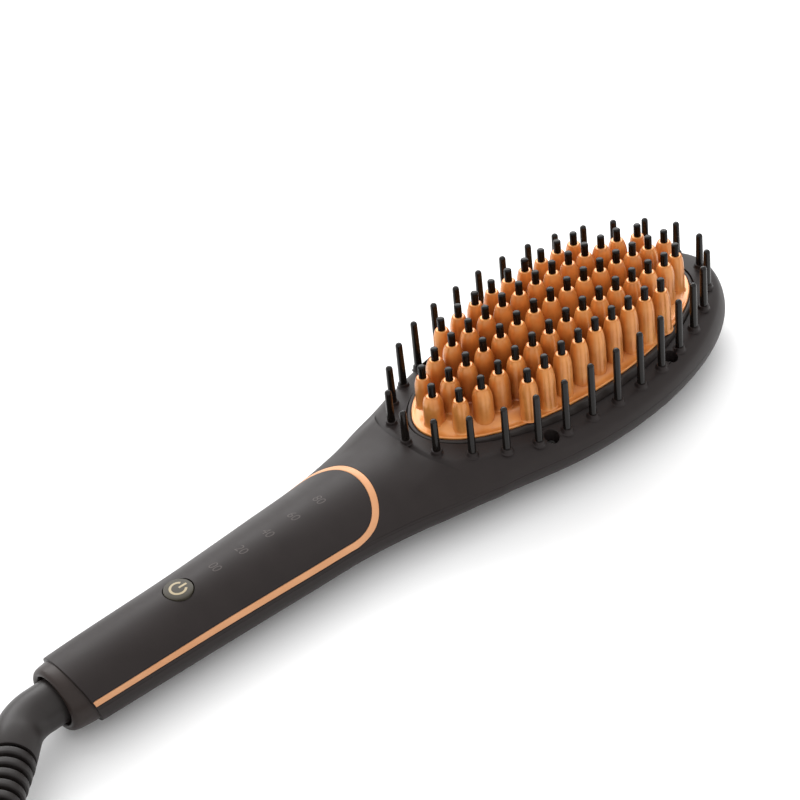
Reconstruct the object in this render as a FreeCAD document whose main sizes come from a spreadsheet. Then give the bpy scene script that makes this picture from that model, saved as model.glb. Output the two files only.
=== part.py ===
"""Heated styling brush: an oval paddle head with a copper tooth plate on a long rounded handle.

Millimetres. X runs from the handle to the head, Y across it and Z up. The origin is the middle
of the flat pad on the back of the head, where the brush lies on a table.
"""
import FreeCAD
import Part
import Sketcher
import math
import os
import re
from FreeCAD import Placement, Rotation, Vector

SIZES = {
    # Head: an oval dish that is widest at the parting line of its two shells.
    "head_half_length": 71.0,
    "head_half_width": 36.0,
    "parting_height": 12.5,
    "seam_gap": 0.25,
    "back_round": 18.7,
    "face_height": 22.8,
    "face_crown_radius": 116.0,
    "brow_height": 11.5,
    "brow_length_inset": 8.0,
    "brow_width_inset": 14.0,
    "face_end_margin": 4.8,
    "face_side_margin": 4.0,
    "neck_sink": 0.4,
    "wall": 2.4,
    # Handle and neck: oval sections at stations along X.
    "handle_end_x": -195.0,
    "handle_end_width": 13.2,
    "handle_end_rise": 10.4,
    "grip_x": -150.0,
    "grip_width": 15.1,
    "grip_rise": 11.3,
    "waist_x": -117.0,
    "waist_width": 17.1,
    "waist_rise": 11.4,
    "throat_x": -94.0,
    "throat_width": 18.7,
    "throat_rise": 11.4,
    "neck_x": -78.0,
    "neck_width": 21.6,
    "neck_rise": 11.5,
    "shoulder_x": -64.0,
    "shoulder_margin": 10.8,
    "shoulder_rise": 11.6,
    "root_x": -36.0,
    "root_margin": 5.6,
    "root_rise": 11.0,
    "axis_height": 11.6,
    # Handle panel and the copper coloured strip that frames it.
    "panel_thickness": 1.2,
    "strip_width": 1.8,
    "strip_bottom": 14.1,
    "strip_proud": 0.15,
    "arch_x": -84.0,
    "arch_length": 16.0,
    "arch_bulge": 1.3,
    "panel_fit": 0.1,
    # Button and its switch.
    "button_x": -153.0,
    "button_radius": 4.5,
    "button_fit": 0.3,
    "button_sink": 0.1,
    "button_dome_rise": 0.25,
    "button_flange_radius": 5.6,
    "button_flange_thickness": 0.8,
    "button_flange_drop": 3.9,
    "button_stem_radius": 1.8,
    "button_travel": 0.6,
    "switch_side": 6.2,
    "switch_height": 3.6,
    "plunger_radius": 1.5,
    "plunger_rise": 1.2,
    "plunger_depth": 1.0,
    "running_fit": 0.3,
    # Control board, its parts and its screws.
    "board_x": -166.0,
    "board_length": 75.0,
    "board_width": 18.0,
    "board_thickness": 1.6,
    "board_height": 8.0,
    "board_screw_inset": 5.0,
    "board_screw_offset": 6.0,
    "board_post_radius": 2.6,
    "board_screw_radius": 1.0,
    "board_screw_head": 1.9,
    "board_screw_length": 7.0,
    "screw_head_height": 1.4,
    "screw_fit": 0.12,
    "number_count": 5,
    "number_x": -140.0,
    "number_pitch": 10.0,
    "window_length": 3.4,
    "window_width": 5.2,
    "window_fit": 0.15,
    "led_length": 2.0,
    "led_width": 1.3,
    "led_height": 0.8,
    "triac_x": -122.0,
    "triac_length": 10.0,
    "triac_width": 4.4,
    "triac_height": 6.2,
    "capacitor_x": -136.0,
    "capacitor_length": 13.0,
    "capacitor_width": 5.0,
    "capacitor_height": 6.8,
    "parts_offset": 3.7,
    # Tooth plate and its insulating frame.
    "plate_end_margin": 13.6,
    "plate_side_margin": 10.2,
    "plate_top": 23.1,
    "plate_rim": 0.8,
    "plate_body_inset": 2.5,
    "plate_bottom": 19.5,
    "plateau_height": 1.6,
    "scallop_radius": 4.0,
    "frame_lap": 0.8,
    "frame_wall": 3.0,
    "frame_bottom": 12.4,
    "frame_fit": 0.3,
    "frame_tab_reach": 3.4,
    "frame_tab_width": 12.0,
    "frame_tab_height": 2.0,
    "frame_post_radius": 2.4,
    # Teeth in five rows, with their nylon tips.
    "tooth_pitch": 7.4,
    "tooth_edge_margin": 4.0,
    "outer_row_margin": 6.2,
    "inner_row_share": 0.541,
    "bent_tooth_share": 0.434,
    "tip_height": 46.5,
    "crown_drop_length": 6.6,
    "crown_drop_width": 2.5,
    "inner_tooth_radius": 3.4,
    "outer_tooth_radius": 2.95,
    "tooth_top_radius": 2.0,
    "tooth_straight_share": 0.45,
    "tooth_waist_share": 0.96,
    "tip_radius": 1.3,
    "tip_length": 4.7,
    "tip_seat": 4.0,
    "tip_fit": 0.05,
    # Guard pins round the plate.
    "pin_count": 29,
    "pin_ring_end_margin": 7.0,
    "pin_ring_side_margin": 4.8,
    "pin_base_radius": 1.28,
    "pin_top_radius": 1.12,
    "pin_end_height": 36.0,
    "pin_crown": 4.0,
    "pin_seat": 1.4,
    "pin_fit": 0.05,
    "boss_radius": 1.75,
    "boss_height": 1.4,
    # Heater stack under the plate.
    "heater_end_margin": 17.4,
    "heater_side_margin": 13.8,
    "heater_height": 4.5,
    "heater_gap": 6.0,
    "mica_overhang": 0.5,
    "mica_thickness": 0.5,
    "clamp_end_margin": 9.4,
    "clamp_side_margin": 14.8,
    "clamp_thickness": 1.0,
    "clamp_screw_end_margin": 3.5,
    "clamp_screw_side_margin": 2.5,
    "clamp_boss_radius": 2.8,
    "clamp_screw_radius": 1.25,
    "clamp_screw_head": 2.4,
    "clamp_screw_length": 4.5,
    "sensor_x": -13.0,
    "sensor_length": 14.0,
    "sensor_radius": 2.0,
    "fuse_x": 13.0,
    "fuse_length": 12.0,
    # Case screws, sunk in holes in the face.
    "case_screw_rear_margin": 42.0,
    "case_screw_front_margin": 46.7,
    "case_screw_side_margin": 8.6,
    "case_boss_radius": 2.9,
    "case_hole_radius": 2.1,
    "case_ledge": 2.0,
    "case_screw_radius": 1.0,
    "case_screw_head": 1.85,
    "case_screw_length": 9.0,
    # Cord swivel at the end of the handle.
    "collar_end_x": -200.0,
    "collar_width": 12.0,
    "collar_rise": 10.1,
    "collar_lip_width": 10.9,
    "collar_lip_rise": 9.8,
    "collar_round": 1.4,
    "mouth_radius": 8.0,
    "elbow_radius": 7.1,
    "elbow_x": -211.0,
    "elbow_bend_radius": 10.0,
    "elbow_angle": 45.0,
    "elbow_tail": 7.0,
    "journal_radius": 5.6,
    "journal_end_x": -174.0,
    "wire_bore": 3.0,
    "retainer_radius": 7.6,
    "retainer_thickness": 1.5,
    "ring_radius": 6.9,
    "ring_width": 3.5,
    "ring_pitch": 6.5,
    "ring_x": -187.0,
    "contact_thickness": 0.5,
    "contact_height": 8.0,
    "carrier_thickness": 1.8,
    "carrier_length": 15.0,
    "carrier_height": 5.6,
    # Ribbed strain relief.
    "boot_length": 40.0,
    "boot_ribs": 11,
    "boot_start_radius": 7.1,
    "boot_end_radius": 5.0,
    "boot_groove": 0.9,
    "boot_groove_width": 1.13,
    "boot_rib_edge": 0.2,
    # Mains cord, its tie and its plug.
    "cord_diameter": 6.0,
    "coil_clearance": 0.6,
    "coil_outer_radius": 48.0,
    "coil_turns": 7.25,
    "coil_lift": 1.0,
    "coil_start_x": -268.0,
    "coil_start_y": -100.0,
    "tie_width": 12.0,
    "tie_thickness": 0.7,
    "tie_fit": 0.3,
    "plug_length": 36.0,
    "plug_width": 27.0,
    "plug_height": 14.0,
    "plug_neck_length": 16.0,
    "plug_shoulder": 7.0,
    "plug_face_taper": 8.0,
    "plug_pin_radius": 2.0,
    "plug_pin_length": 19.0,
    "plug_pin_spacing": 19.0,
    "wire_radius": 0.85,
}

# Sizes that follow another one: each is the first size less the margin named second.
TIED = {
    "face_half_length": ("head_half_length", "face_end_margin"),
    "face_half_width": ("head_half_width", "face_side_margin"),
    "shoulder_width": ("head_half_width", "shoulder_margin"),
    "root_width": ("head_half_width", "root_margin"),
    "pin_ring_half_length": ("head_half_length", "pin_ring_end_margin"),
    "pin_ring_half_width": ("head_half_width", "pin_ring_side_margin"),
    "plate_half_length": ("head_half_length", "plate_end_margin"),
    "plate_half_width": ("head_half_width", "plate_side_margin"),
    "outer_row_offset": ("plate_half_width", "outer_row_margin"),
    "heater_half_length": ("plate_half_length", "heater_end_margin"),
    "heater_width": ("plate_half_width", "heater_side_margin"),
    "clamp_half_length": ("plate_half_length", "clamp_end_margin"),
    "clamp_half_width": ("plate_half_width", "clamp_side_margin"),
    "clamp_screw_x": ("clamp_half_length", "clamp_screw_end_margin"),
    "clamp_screw_y": ("clamp_half_width", "clamp_screw_side_margin"),
    "case_screw_rear": ("head_half_length", "case_screw_rear_margin"),
    "case_screw_front": ("head_half_length", "case_screw_front_margin"),
    "case_screw_y": ("head_half_width", "case_screw_side_margin"),
}

doc = FreeCAD.newDocument("styling_brush")
sheet = doc.addObject("Spreadsheet::Sheet", "sizes")
for row, (alias, value) in enumerate(SIZES.items(), start=1):
    sheet.set(f"A{row}", alias)
    sheet.set(f"B{row}", str(value))
    sheet.setAlias(f"B{row}", alias)
doc.recompute()

nodes = {}


def size(alias):
    """The value of one cell of the sheet, or of a size that follows others."""
    if alias in TIED:
        whole, margin = TIED[alias]
        return size(whole) - size(margin)
    return float(sheet.get(alias))


def cell(alias):
    """How an expression reads one size."""
    if alias in TIED:
        whole, margin = TIED[alias]
        return f"({cell(whole)} - {cell(margin)})"
    return "sizes." + alias if alias in SIZES else alias


def sized(expression):
    """An expression in which each alias is read from the sheet."""
    return re.sub(r"[a-z]\w*", lambda word: cell(word[0]), expression)


def bind(thing, **expressions):
    """Ties properties of an object to expressions of the sheet's aliases."""
    for name, expression in expressions.items():
        thing.setExpression(name, sized(expression))
    return thing


def seat(thing, x="0", y="0", z="0"):
    """Ties the place of an object to the sheet."""
    for axis, expression in zip("xyz", (x, y, z)):
        thing.setExpression(f"Placement.Base.{axis}", sized(expression))
    return thing


def node(thing, label):
    """Names a finished piece, so that it is written under that name."""
    thing.Label = label
    nodes[label] = thing
    return thing


def fused(name, *things):
    whole = doc.addObject("Part::MultiFuse", name)
    whole.Shapes = list(things)
    whole.Refine = False
    return whole


def cut(name, base, tool):
    rest = doc.addObject("Part::Cut", name)
    rest.Base = base
    rest.Tool = tool
    rest.Refine = False
    return rest


def common(name, base, tool):
    shared = doc.addObject("Part::Common", name)
    shared.Base = base
    shared.Tool = tool
    shared.Refine = False
    return shared


def block(name, length, width, height, x="0", y="0", z="0"):
    """A box whose lowest corner lies at x, y, z."""
    box = bind(doc.addObject("Part::Box", name), Length=length, Width=width, Height=height)
    return seat(box, x, y, z)


def rod(name, radius, height, x="0", y="0", z="0", turn=None):
    """A cylinder that stands at x, y, z, or lies along the axis that turn gives it."""
    cylinder = bind(doc.addObject("Part::Cylinder", name), Radius=radius, Height=height)
    if turn is not None:
        cylinder.Placement = Placement(Vector(), turn)
    return seat(cylinder, x, y, z)


def oval(name, major, minor, x="0", z="0", turn=None):
    """An ellipse flat at height z, or across the handle at x."""
    ring = bind(doc.addObject("Part::Ellipse", name), MajorRadius=major, MinorRadius=minor)
    if turn is not None:
        ring.Placement = Placement(Vector(), turn)
    return seat(ring, x, "0", z)


def loft(name, sections, ruled=False):
    solid = doc.addObject("Part::Loft", name)
    solid.Sections = sections
    solid.Solid = True
    solid.Ruled = ruled
    return solid


def oval_prism(name, major, minor, low, high):
    """An upright oval cylinder between two heights."""
    ends = [oval(name + "_low", major, minor, z=low), oval(name + "_high", major, minor, z=high)]
    return loft(name, ends, True)


def feature(name, shape):
    """A piece whose shape is worked out in code from the sheet's sizes."""
    piece = doc.addObject("Part::Feature", name)
    piece.Shape = shape
    return piece


ACROSS = Rotation(Vector(1, 1, 1), 120)
ALONG_X = Rotation(Vector(0, 1, 0), 90)
UP = Vector(0, 0, 1)
STATIONS = ("handle_end", "grip", "waist", "throat", "neck", "shoulder", "root")
BACK_LEVELS = (1.0, 0.93, 0.74, 0.4, 0.0)
BROW_LEVELS = (0.35, 0.62, 0.84, 0.97)


def handle_loft(name, inset, end_inset=None):
    """The oval handle and neck, made smaller by inset all round and, unless told otherwise, at the end."""
    rings = []
    for station in STATIONS:
        x = f"{station}_x"
        if station == "handle_end":
            x += f" + ({end_inset or inset})"
        ring = oval(
            f"{name}_{station}",
            f"{station}_width - ({inset})",
            f"{station}_rise - ({inset})",
            x,
            "axis_height",
            ACROSS,
        )
        rings.append(ring)
    return loft(name, rings)


def head_dish(name, inset):
    """The oval dish: a rounded back up to the parting line, a rounded brow above it, a crowned face."""
    rings = []
    for step, level in enumerate(BACK_LEVELS):
        pull = f"back_round * (1 - sqrt(1 - {level}^2))"
        ring = oval(
            f"{name}_back_{step}",
            f"head_half_length - {pull} - ({inset})",
            f"head_half_width - {pull} - ({inset})",
            z=f"parting_height - (parting_height - ({inset})) * {level}",
        )
        rings.append(ring)
    for step, level in enumerate(BROW_LEVELS):
        pull = f"(1 - sqrt(1 - {level}^2))"
        ring = oval(
            f"{name}_brow_{step}",
            f"head_half_length - brow_length_inset * {pull} - ({inset})",
            f"head_half_width - brow_width_inset * {pull} - ({inset})",
            z=f"parting_height + brow_height * {level}",
        )
        rings.append(ring)
    return common(name, loft(name + "_dish", rings), crown_bar(name + "_crown", inset))


def crown_bar(name, inset):
    """A long round bar whose top is the crowned face of the head."""
    return rod(
        name,
        f"face_crown_radius - ({inset})",
        "4 * head_half_length",
        "-2 * head_half_length",
        z="face_height - face_crown_radius",
        turn=ALONG_X,
    )


def body_form(name, inset):
    """Head and handle in one, made smaller by inset; the oval of the face is cut into the neck."""
    above_face = cut(
        name + "_above_face",
        oval_prism(
            name + "_face_oval",
            f"face_half_length - ({inset})",
            f"face_half_width - ({inset})",
            "parting_height",
            "2 * face_height",
        ),
        crown_bar(name + "_face_crown", f"({inset}) + neck_sink"),
    )
    neck = cut(name + "_neck", handle_loft(name + "_handle", inset), above_face)
    return fused(name, head_dish(name + "_head", inset), neck)


def drop_in_box(name, low, high):
    """A box over the whole brush between two heights, which parts it into its two shells."""
    return block(
        name,
        "head_half_length - handle_end_x + 100",
        "4 * head_half_width",
        f"({high}) - ({low})",
        "handle_end_x - 50",
        "-2 * head_half_width",
        low,
    )


outer = body_form("outer", "0")
cavity = body_form("cavity", "wall")
hollow = cut("hollow", outer, cavity)


def side_slab(low, margin):
    """A slab across the handle: above low and behind the arch, which climbs in a shallow arc."""
    far = size("arch_x") - 1.4 * margin
    start = size("arch_x") - size("arch_length") - 0.3 * margin
    crest_z = size("axis_height") + size("throat_rise")
    top = crest_z + size("wall")
    end = size("handle_end_x")
    foot = Vector(start, 0, low)
    crest = Vector(far, 0, crest_z)
    chord = crest - foot
    bulge = Vector(chord.z, 0, -chord.x).normalize() * size("arch_bulge")
    corners = [crest, Vector(far, 0, top), Vector(end, 0, top), Vector(end, 0, low), foot]
    edges = [Part.LineSegment(a, b).toShape() for a, b in zip(corners, corners[1:])]
    edges.append(Part.Arc(foot, foot + chord * 0.5 + bulge, crest).toShape())
    reach = 2 * size("head_half_width")
    slab = Part.Face(Part.Wire(edges)).extrude(Vector(0, 2 * reach, 0))
    slab.translate(Vector(0, -reach, 0))
    return slab


def round_bar(radius, low, high):
    """An upright cylinder from point low up to height high."""
    return Part.makeCylinder(radius, high - low.z, low)


def turned(outline):
    """A solid turned about Z from an outline of points and arcs; an arc is written as its three points."""
    edges = []
    for piece in outline:
        curve = Part.LineSegment(*piece) if len(piece) == 2 else Part.Arc(*piece)
        edges.append(curve.toShape())
    return Part.Face(Part.Wire(edges)).revolve(Vector(), UP, 360)


def placed(shape, x, y, z):
    shape.translate(Vector(x, y, z))
    return shape


def rz(radius, height):
    """A point of an outline that is turned about Z."""
    return Vector(radius, 0, height)


def face_z(y):
    """Height of the crowned face at a distance from the middle line."""
    crown = size("face_crown_radius")
    return size("face_height") - crown + math.sqrt(crown**2 - y**2)


def case_screw_places():
    return [
        (x, side * size("case_screw_y"))
        for x in (-size("case_screw_rear"), size("case_screw_front"))
        for side in (1, -1)
    ]


def board_screw_places():
    inset = size("board_screw_inset")
    start = size("board_x")
    offset = size("board_screw_offset")
    return [(start + inset, offset), (start + size("board_length") - inset, -offset)]


def frame_post_places():
    lap = size("frame_lap") - size("frame_wall") / 2
    length = size("plate_half_length") + lap
    width = size("plate_half_width") + lap
    return [(length, 0), (-length, 0), (0, width), (0, -width)]


def pin_places():
    """Places at equal steps along the oval ring, from its handle end."""
    a = size("pin_ring_half_length")
    b = size("pin_ring_half_width")
    samples = 3600
    ring = [
        (-a * math.cos(math.tau * k / samples), b * math.sin(math.tau * k / samples))
        for k in range(samples + 1)
    ]
    walked = [0.0]
    for before, after in zip(ring, ring[1:]):
        walked.append(walked[-1] + math.dist(before, after))
    count = int(size("pin_count"))
    step = walked[-1] / count
    return [ring[min(range(samples), key=lambda k: abs(walked[k] - step * n))] for n in range(count)]


def row_end(y):
    """How far a row of teeth may reach along the plate at a distance from the middle line."""
    oval_x = size("plate_half_length") * math.sqrt(1 - (y / size("plate_half_width")) ** 2)
    return oval_x - size("tooth_edge_margin")


def tooth_places():
    """Places of the teeth, row by row, each with whether it stands at the edge of the plate.

    The inner rows stand half a pitch off the others, and the last tooth at each of their ends is bent in.
    """
    pitch = size("tooth_pitch")
    last = int(row_end(0) // pitch)
    places = [(k * pitch, 0.0, abs(k) == last) for k in range(-last, last + 1)]
    outer_y = size("outer_row_offset")
    inner_y = outer_y * size("inner_row_share")
    bent_y = outer_y * size("bent_tooth_share")
    inner_last = int(row_end(inner_y) / pitch - 0.5)
    outer_last = int(row_end(outer_y) // pitch)
    for side in (1, -1):
        for end in (1, -1):
            for k in range(inner_last):
                places.append((end * (k + 0.5) * pitch, side * inner_y, k == inner_last - 1))
            places.append((end * (inner_last + 0.5) * pitch, side * bent_y, True))
        for k in range(-outer_last, outer_last + 1):
            places.append((k * pitch, side * outer_y, True))
    return places


def tip_z(x, y):
    """Height of a nylon tip: the field of tips is crowned both ways."""
    along = size("crown_drop_length") * (x / row_end(0)) ** 2
    across = size("crown_drop_width") * (y / size("outer_row_offset")) ** 2
    return size("tip_height") - along - across


# The two shells: one hollow form with its posts, parted at the widest line of the head.
posts = []
for name, top, places in (
    ("case_boss_radius", "face_height", case_screw_places()),
    ("board_post_radius", "board_height", board_screw_places()),
    ("frame_post_radius", "frame_bottom", frame_post_places()),
):
    posts += [round_bar(size(name), Vector(x, y, 0), size(top)) for x, y in places]
post_bars = feature("post_bars", Part.makeCompound(posts))
walls = fused("walls", hollow, common("posts", outer, post_bars))
swivel_hole = rod(
    "swivel_hole",
    "journal_radius + running_fit",
    "3 * wall",
    "handle_end_x - wall",
    z="axis_height",
    turn=ALONG_X,
)

upper = drop_in_box("upper", "parting_height + seam_gap", "2 * face_height")
front_half = common("front_half", walls, upper)
bosses = []
pin_holes = []
for x, y in pin_places():
    top = face_z(y) + size("boss_height")
    bosses.append(round_bar(size("boss_radius"), Vector(x, y, face_z(y) - size("wall") / 2), top))
    depth = size("boss_height") + size("pin_seat")
    hole_r = size("pin_base_radius") + size("pin_fit")
    pin_holes.append(round_bar(hole_r, Vector(x, y, top - depth), top + 1))
bossed = fused("bossed", front_half, feature("pin_bosses", Part.makeCompound(bosses)))
ledge_z = size("parting_height") + size("case_ledge")
front_holes = list(pin_holes)
for x, y in case_screw_places():
    front_holes.append(round_bar(size("case_hole_radius"), Vector(x, y, ledge_z), 2 * size("face_height")))
    shank = size("case_screw_radius") + size("screw_fit")
    front_holes.append(round_bar(shank, Vector(x, y, 0), ledge_z))
drilled = cut("drilled", bossed, feature("front_holes", Part.makeCompound(front_holes)))
opened = cut(
    "opened",
    drilled,
    oval_prism(
        "plate_opening",
        "plate_half_length + frame_lap + frame_fit",
        "plate_half_width + frame_lap + frame_fit",
        "parting_height - wall",
        "2 * face_height",
    ),
)
skin_floor = handle_loft("skin_floor", "panel_thickness", "-wall")
fit = size("panel_fit")
low = size("strip_bottom")
band = size("strip_width")
recess = cut("recess", feature("recess_slab", side_slab(low - fit, -fit)), skin_floor)
recessed = cut("recessed", opened, recess)
button_hole = rod(
    "button_hole",
    "button_radius + button_fit",
    "3 * wall",
    "button_x",
    z="axis_height + grip_rise - 2 * wall",
)
windows = []
guides = []
leds = []
board_top = size("board_height") + size("board_thickness")
window_top = size("axis_height") + size("throat_rise")
for k in range(int(size("number_count"))):
    x = size("number_x") + k * size("number_pitch")
    gap = size("window_fit")
    long, wide = size("window_length"), size("window_width")
    low_z = board_top + size("led_height") + size("running_fit")
    corner = Vector(x - long / 2, -wide / 2, low_z)
    guides.append(Part.makeBox(long, wide, window_top - low_z, corner))
    windows.append(Part.makeBox(long + 2 * gap, wide + 2 * gap, window_top, corner - Vector(gap, gap, 0)))
    flat = Vector(x - size("led_length") / 2, -size("led_width") / 2, board_top)
    leds.append(Part.makeBox(size("led_length"), size("led_width"), size("led_height"), flat))
buttoned = cut("buttoned", recessed, button_hole)
windowed = cut("windowed", buttoned, feature("windows", Part.makeCompound(windows)))
node(cut("front_shell", windowed, swivel_hole), "front_shell")

rear_half = common("rear_half", walls, drop_in_box("lower", "-face_height", "parting_height"))
rear_holes = []
for x, y in case_screw_places():
    shank = size("case_screw_radius") + size("screw_fit")
    rear_holes.append(round_bar(shank, Vector(x, y, ledge_z - size("case_screw_length") - 0.5), ledge_z))
for x, y in board_screw_places():
    shank = size("board_screw_radius") + size("screw_fit")
    foot = board_top - size("board_screw_length") - size("screw_fit")
    rear_holes.append(round_bar(shank, Vector(x, y, foot), board_top))
bored = cut("bored", rear_half, feature("rear_holes", Part.makeCompound(rear_holes)))
node(cut("rear_shell", bored, swivel_hole), "rear_shell")

# Handle panel and strip: a band of the handle's skin. The strip runs level along each side, just above
# the parting line, and climbs over the top of the handle in an arch; the panel fills it.
seating = handle_loft("seating", "panel_thickness - panel_fit", "-wall")
panel_area = feature("panel_area", side_slab(low + band + fit, band + fit))
panel_skin = cut("panel_skin", common("panel_form", handle_loft("panel_outer", "0"), panel_area), seating)
node(cut("handle_panel", panel_skin, button_hole), "handle_panel")
strip_area = feature("strip_area", side_slab(low, 0.0).cut(side_slab(low + band, band)))
strip_form = common("strip_form", handle_loft("strip_outer", "-strip_proud", "0"), strip_area)
node(cut("trim_strip", strip_form, seating), "trim_strip")

# Power button: a slightly domed cap flush with the panel, a flange that keeps it in the shell and a
# stem that stands on the plunger of a small switch.
button_top = size("axis_height") + size("grip_rise") - size("button_sink")
switch_top = board_top + size("switch_height")
plunger_top = switch_top + size("plunger_rise")
flange_top = button_top - size("button_flange_drop")
flange_low = flange_top - size("button_flange_thickness")
cap_edge = button_top - size("button_dome_rise")
cap_r = size("button_radius")
flange_r = size("button_flange_radius")
stem_r = size("button_stem_radius")
dome_r = (cap_r**2 + size("button_dome_rise") ** 2) / (2 * size("button_dome_rise"))
dome_half = math.asin(cap_r / dome_r) / 2
dome_mid = rz(dome_r * math.sin(dome_half), button_top - dome_r * (1 - math.cos(dome_half)))
button = turned(
    [
        (rz(0, plunger_top), rz(stem_r, plunger_top)),
        (rz(stem_r, plunger_top), rz(stem_r, flange_low)),
        (rz(stem_r, flange_low), rz(flange_r, flange_low)),
        (rz(flange_r, flange_low), rz(flange_r, flange_top)),
        (rz(flange_r, flange_top), rz(cap_r, flange_top)),
        (rz(cap_r, flange_top), rz(cap_r, cap_edge)),
        (rz(cap_r, cap_edge), dome_mid, rz(0, button_top)),
        (rz(0, button_top), rz(0, plunger_top)),
    ]
)
node(feature("power_button", placed(button, size("button_x"), 0, 0)), "power_button")
node(
    rod(
        "switch_plunger",
        "plunger_radius",
        "plunger_depth + plunger_rise",
        "button_x",
        z="board_height + board_thickness + switch_height - plunger_depth",
    ),
    "switch_plunger",
)


def sketched(label, place=("0", "0", "0"), plane="XY_Plane"):
    """A body with an empty sketch on one of its own planes."""
    body = doc.addObject("PartDesign::Body", label)
    sketch = body.newObject("Sketcher::SketchObject", label + "_sketch")
    lay(sketch, body, plane)
    seat(body, *place)
    return body, sketch


def lay(sketch, body, plane):
    """Lays a sketch on one of its body's own planes."""
    own_plane = [one for one in body.Origin.OriginFeatures if one.Role == plane][0]
    sketch.AttachmentSupport = [(own_plane, "")]
    sketch.MapMode = "FlatFace"


def tie(sketch, kind, *where, expression, start):
    """Adds a dimension to a sketch and ties it to the sheet."""
    index = sketch.addConstraint(Sketcher.Constraint(kind, *where, start))
    name = f"{kind.lower()}_{index}"
    sketch.renameConstraint(index, name)
    sketch.setExpression(f"Constraints.{name}", sized(expression))


def rectangle(sketch, length, width):
    """A rectangle about the middle of a sketch."""
    corners = [Vector(-5, -4, 0), Vector(5, -4, 0), Vector(5, 4, 0), Vector(-5, 4, 0)]
    sides = [sketch.addGeometry(Part.LineSegment(corners[k - 1], corners[k])) for k in range(4)]
    for k, side in enumerate(sides):
        sketch.addConstraint(Sketcher.Constraint("Coincident", side, 2, sides[(k + 1) % 4], 1))
        sketch.addConstraint(Sketcher.Constraint("Vertical" if k % 2 == 0 else "Horizontal", side))
    sketch.addConstraint(Sketcher.Constraint("Symmetric", sides[1], 1, sides[2], 2, -1, 1))
    tie(sketch, "DistanceX", sides[1], 1, sides[1], 2, expression=length, start=10.0)
    tie(sketch, "DistanceY", sides[2], 1, sides[2], 2, expression=width, start=8.0)


def ring_line(sketch, radius, x=None, y=None, near=(0.0, 0.0)):
    """A circle in a sketch, about its middle or at tied distances from it."""
    line = sketch.addGeometry(Part.Circle(Vector(near[0], near[1], 0), UP, 1.0))
    tie(sketch, "Radius", line, expression=radius, start=1.0)
    if x is None:
        sketch.addConstraint(Sketcher.Constraint("Coincident", line, 3, -1, 1))
        return
    tie(sketch, "DistanceX", -1, 1, line, 3, expression=x, start=near[0])
    tie(sketch, "DistanceY", -1, 1, line, 3, expression=y, start=near[1])


def padded(body, sketch, length):
    pad = body.newObject("PartDesign::Pad", body.Name + "_pad")
    pad.Profile = sketch
    bind(pad, Length=length)
    return pad


# Tact switch under the button: a square case with a bore for its plunger.
switch, switch_sketch = sketched("tact_switch", ("button_x", "0", "board_height + board_thickness"))
rectangle(switch_sketch, "switch_side", "switch_side")
padded(switch, switch_sketch, "switch_height")
bore_sketch = switch.newObject("Sketcher::SketchObject", "switch_bore_sketch")
lay(bore_sketch, switch, "XY_Plane")
bind(bore_sketch, **{"AttachmentOffset.Base.z": "switch_height"})
ring_line(bore_sketch, "plunger_radius + running_fit")
bore = switch.newObject("PartDesign::Pocket", "switch_bore")
bore.Profile = bore_sketch
bind(bore, Length="plunger_depth + button_travel + running_fit")
node(switch, "tact_switch")

# Control board on two posts, with the five lamps behind the numbers and the larger parts of its circuit.
board, board_sketch = sketched("control_board", ("board_x + board_length / 2", "0", "board_height"))
rectangle(board_sketch, "board_length", "board_width")
hole_x = size("board_length") / 2 - size("board_screw_inset")
hole_y = size("board_screw_offset")
for side in (-1, 1):
    ring_line(
        board_sketch,
        "board_screw_radius + screw_fit",
        f"{side} * (board_length / 2 - board_screw_inset)",
        f"{-side} * board_screw_offset",
        (side * hole_x, -side * hole_y),
    )
padded(board, board_sketch, "board_thickness")
node(board, "control_board")
node(feature("status_leds", Part.makeCompound(leds)), "status_leds")
guide_blanks = feature("guide_blanks", Part.makeCompound(guides))
guide_limit = handle_loft("guide_limit", "panel_thickness + panel_fit")
node(common("light_guides", guide_blanks, guide_limit), "light_guides")
node(
    block(
        "power_triac",
        "triac_length",
        "triac_width",
        "triac_height",
        "triac_x - triac_length / 2",
        "-parts_offset - triac_width",
        "board_height + board_thickness",
    ),
    "power_triac",
)
node(
    block(
        "film_capacitor",
        "capacitor_length",
        "capacitor_width",
        "capacitor_height",
        "capacitor_x - capacitor_length / 2",
        "parts_offset",
        "board_height + board_thickness",
    ),
    "film_capacitor",
)


def screw(name):
    """A round headed screw of the named sizes that stands head up, its head resting at height nought."""
    shank = size(name + "_radius")
    head = size(name + "_head")
    length = size(name + "_length")
    head_height = size("screw_head_height")
    return turned(
        [
            (rz(0, -length), rz(shank * 0.5, -length)),
            (rz(shank * 0.5, -length), rz(shank, shank * 0.8 - length)),
            (rz(shank, shank * 0.8 - length), rz(shank, 0)),
            (rz(shank, 0), rz(head, 0)),
            (rz(head, 0), rz(head, head_height * 0.6)),
            (rz(head, head_height * 0.6), rz(head * 0.7, head_height)),
            (rz(head * 0.7, head_height), rz(0, head_height)),
            (rz(0, head_height), rz(0, -length)),
        ]
    )


board_screws = [placed(screw("board_screw"), x, y, board_top) for x, y in board_screw_places()]
node(feature("board_screws", Part.makeCompound(board_screws)), "board_screws")
case_screws = [placed(screw("case_screw"), x, y, ledge_z) for x, y in case_screw_places()]
node(feature("case_screws", Part.makeCompound(case_screws)), "case_screws")

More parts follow.
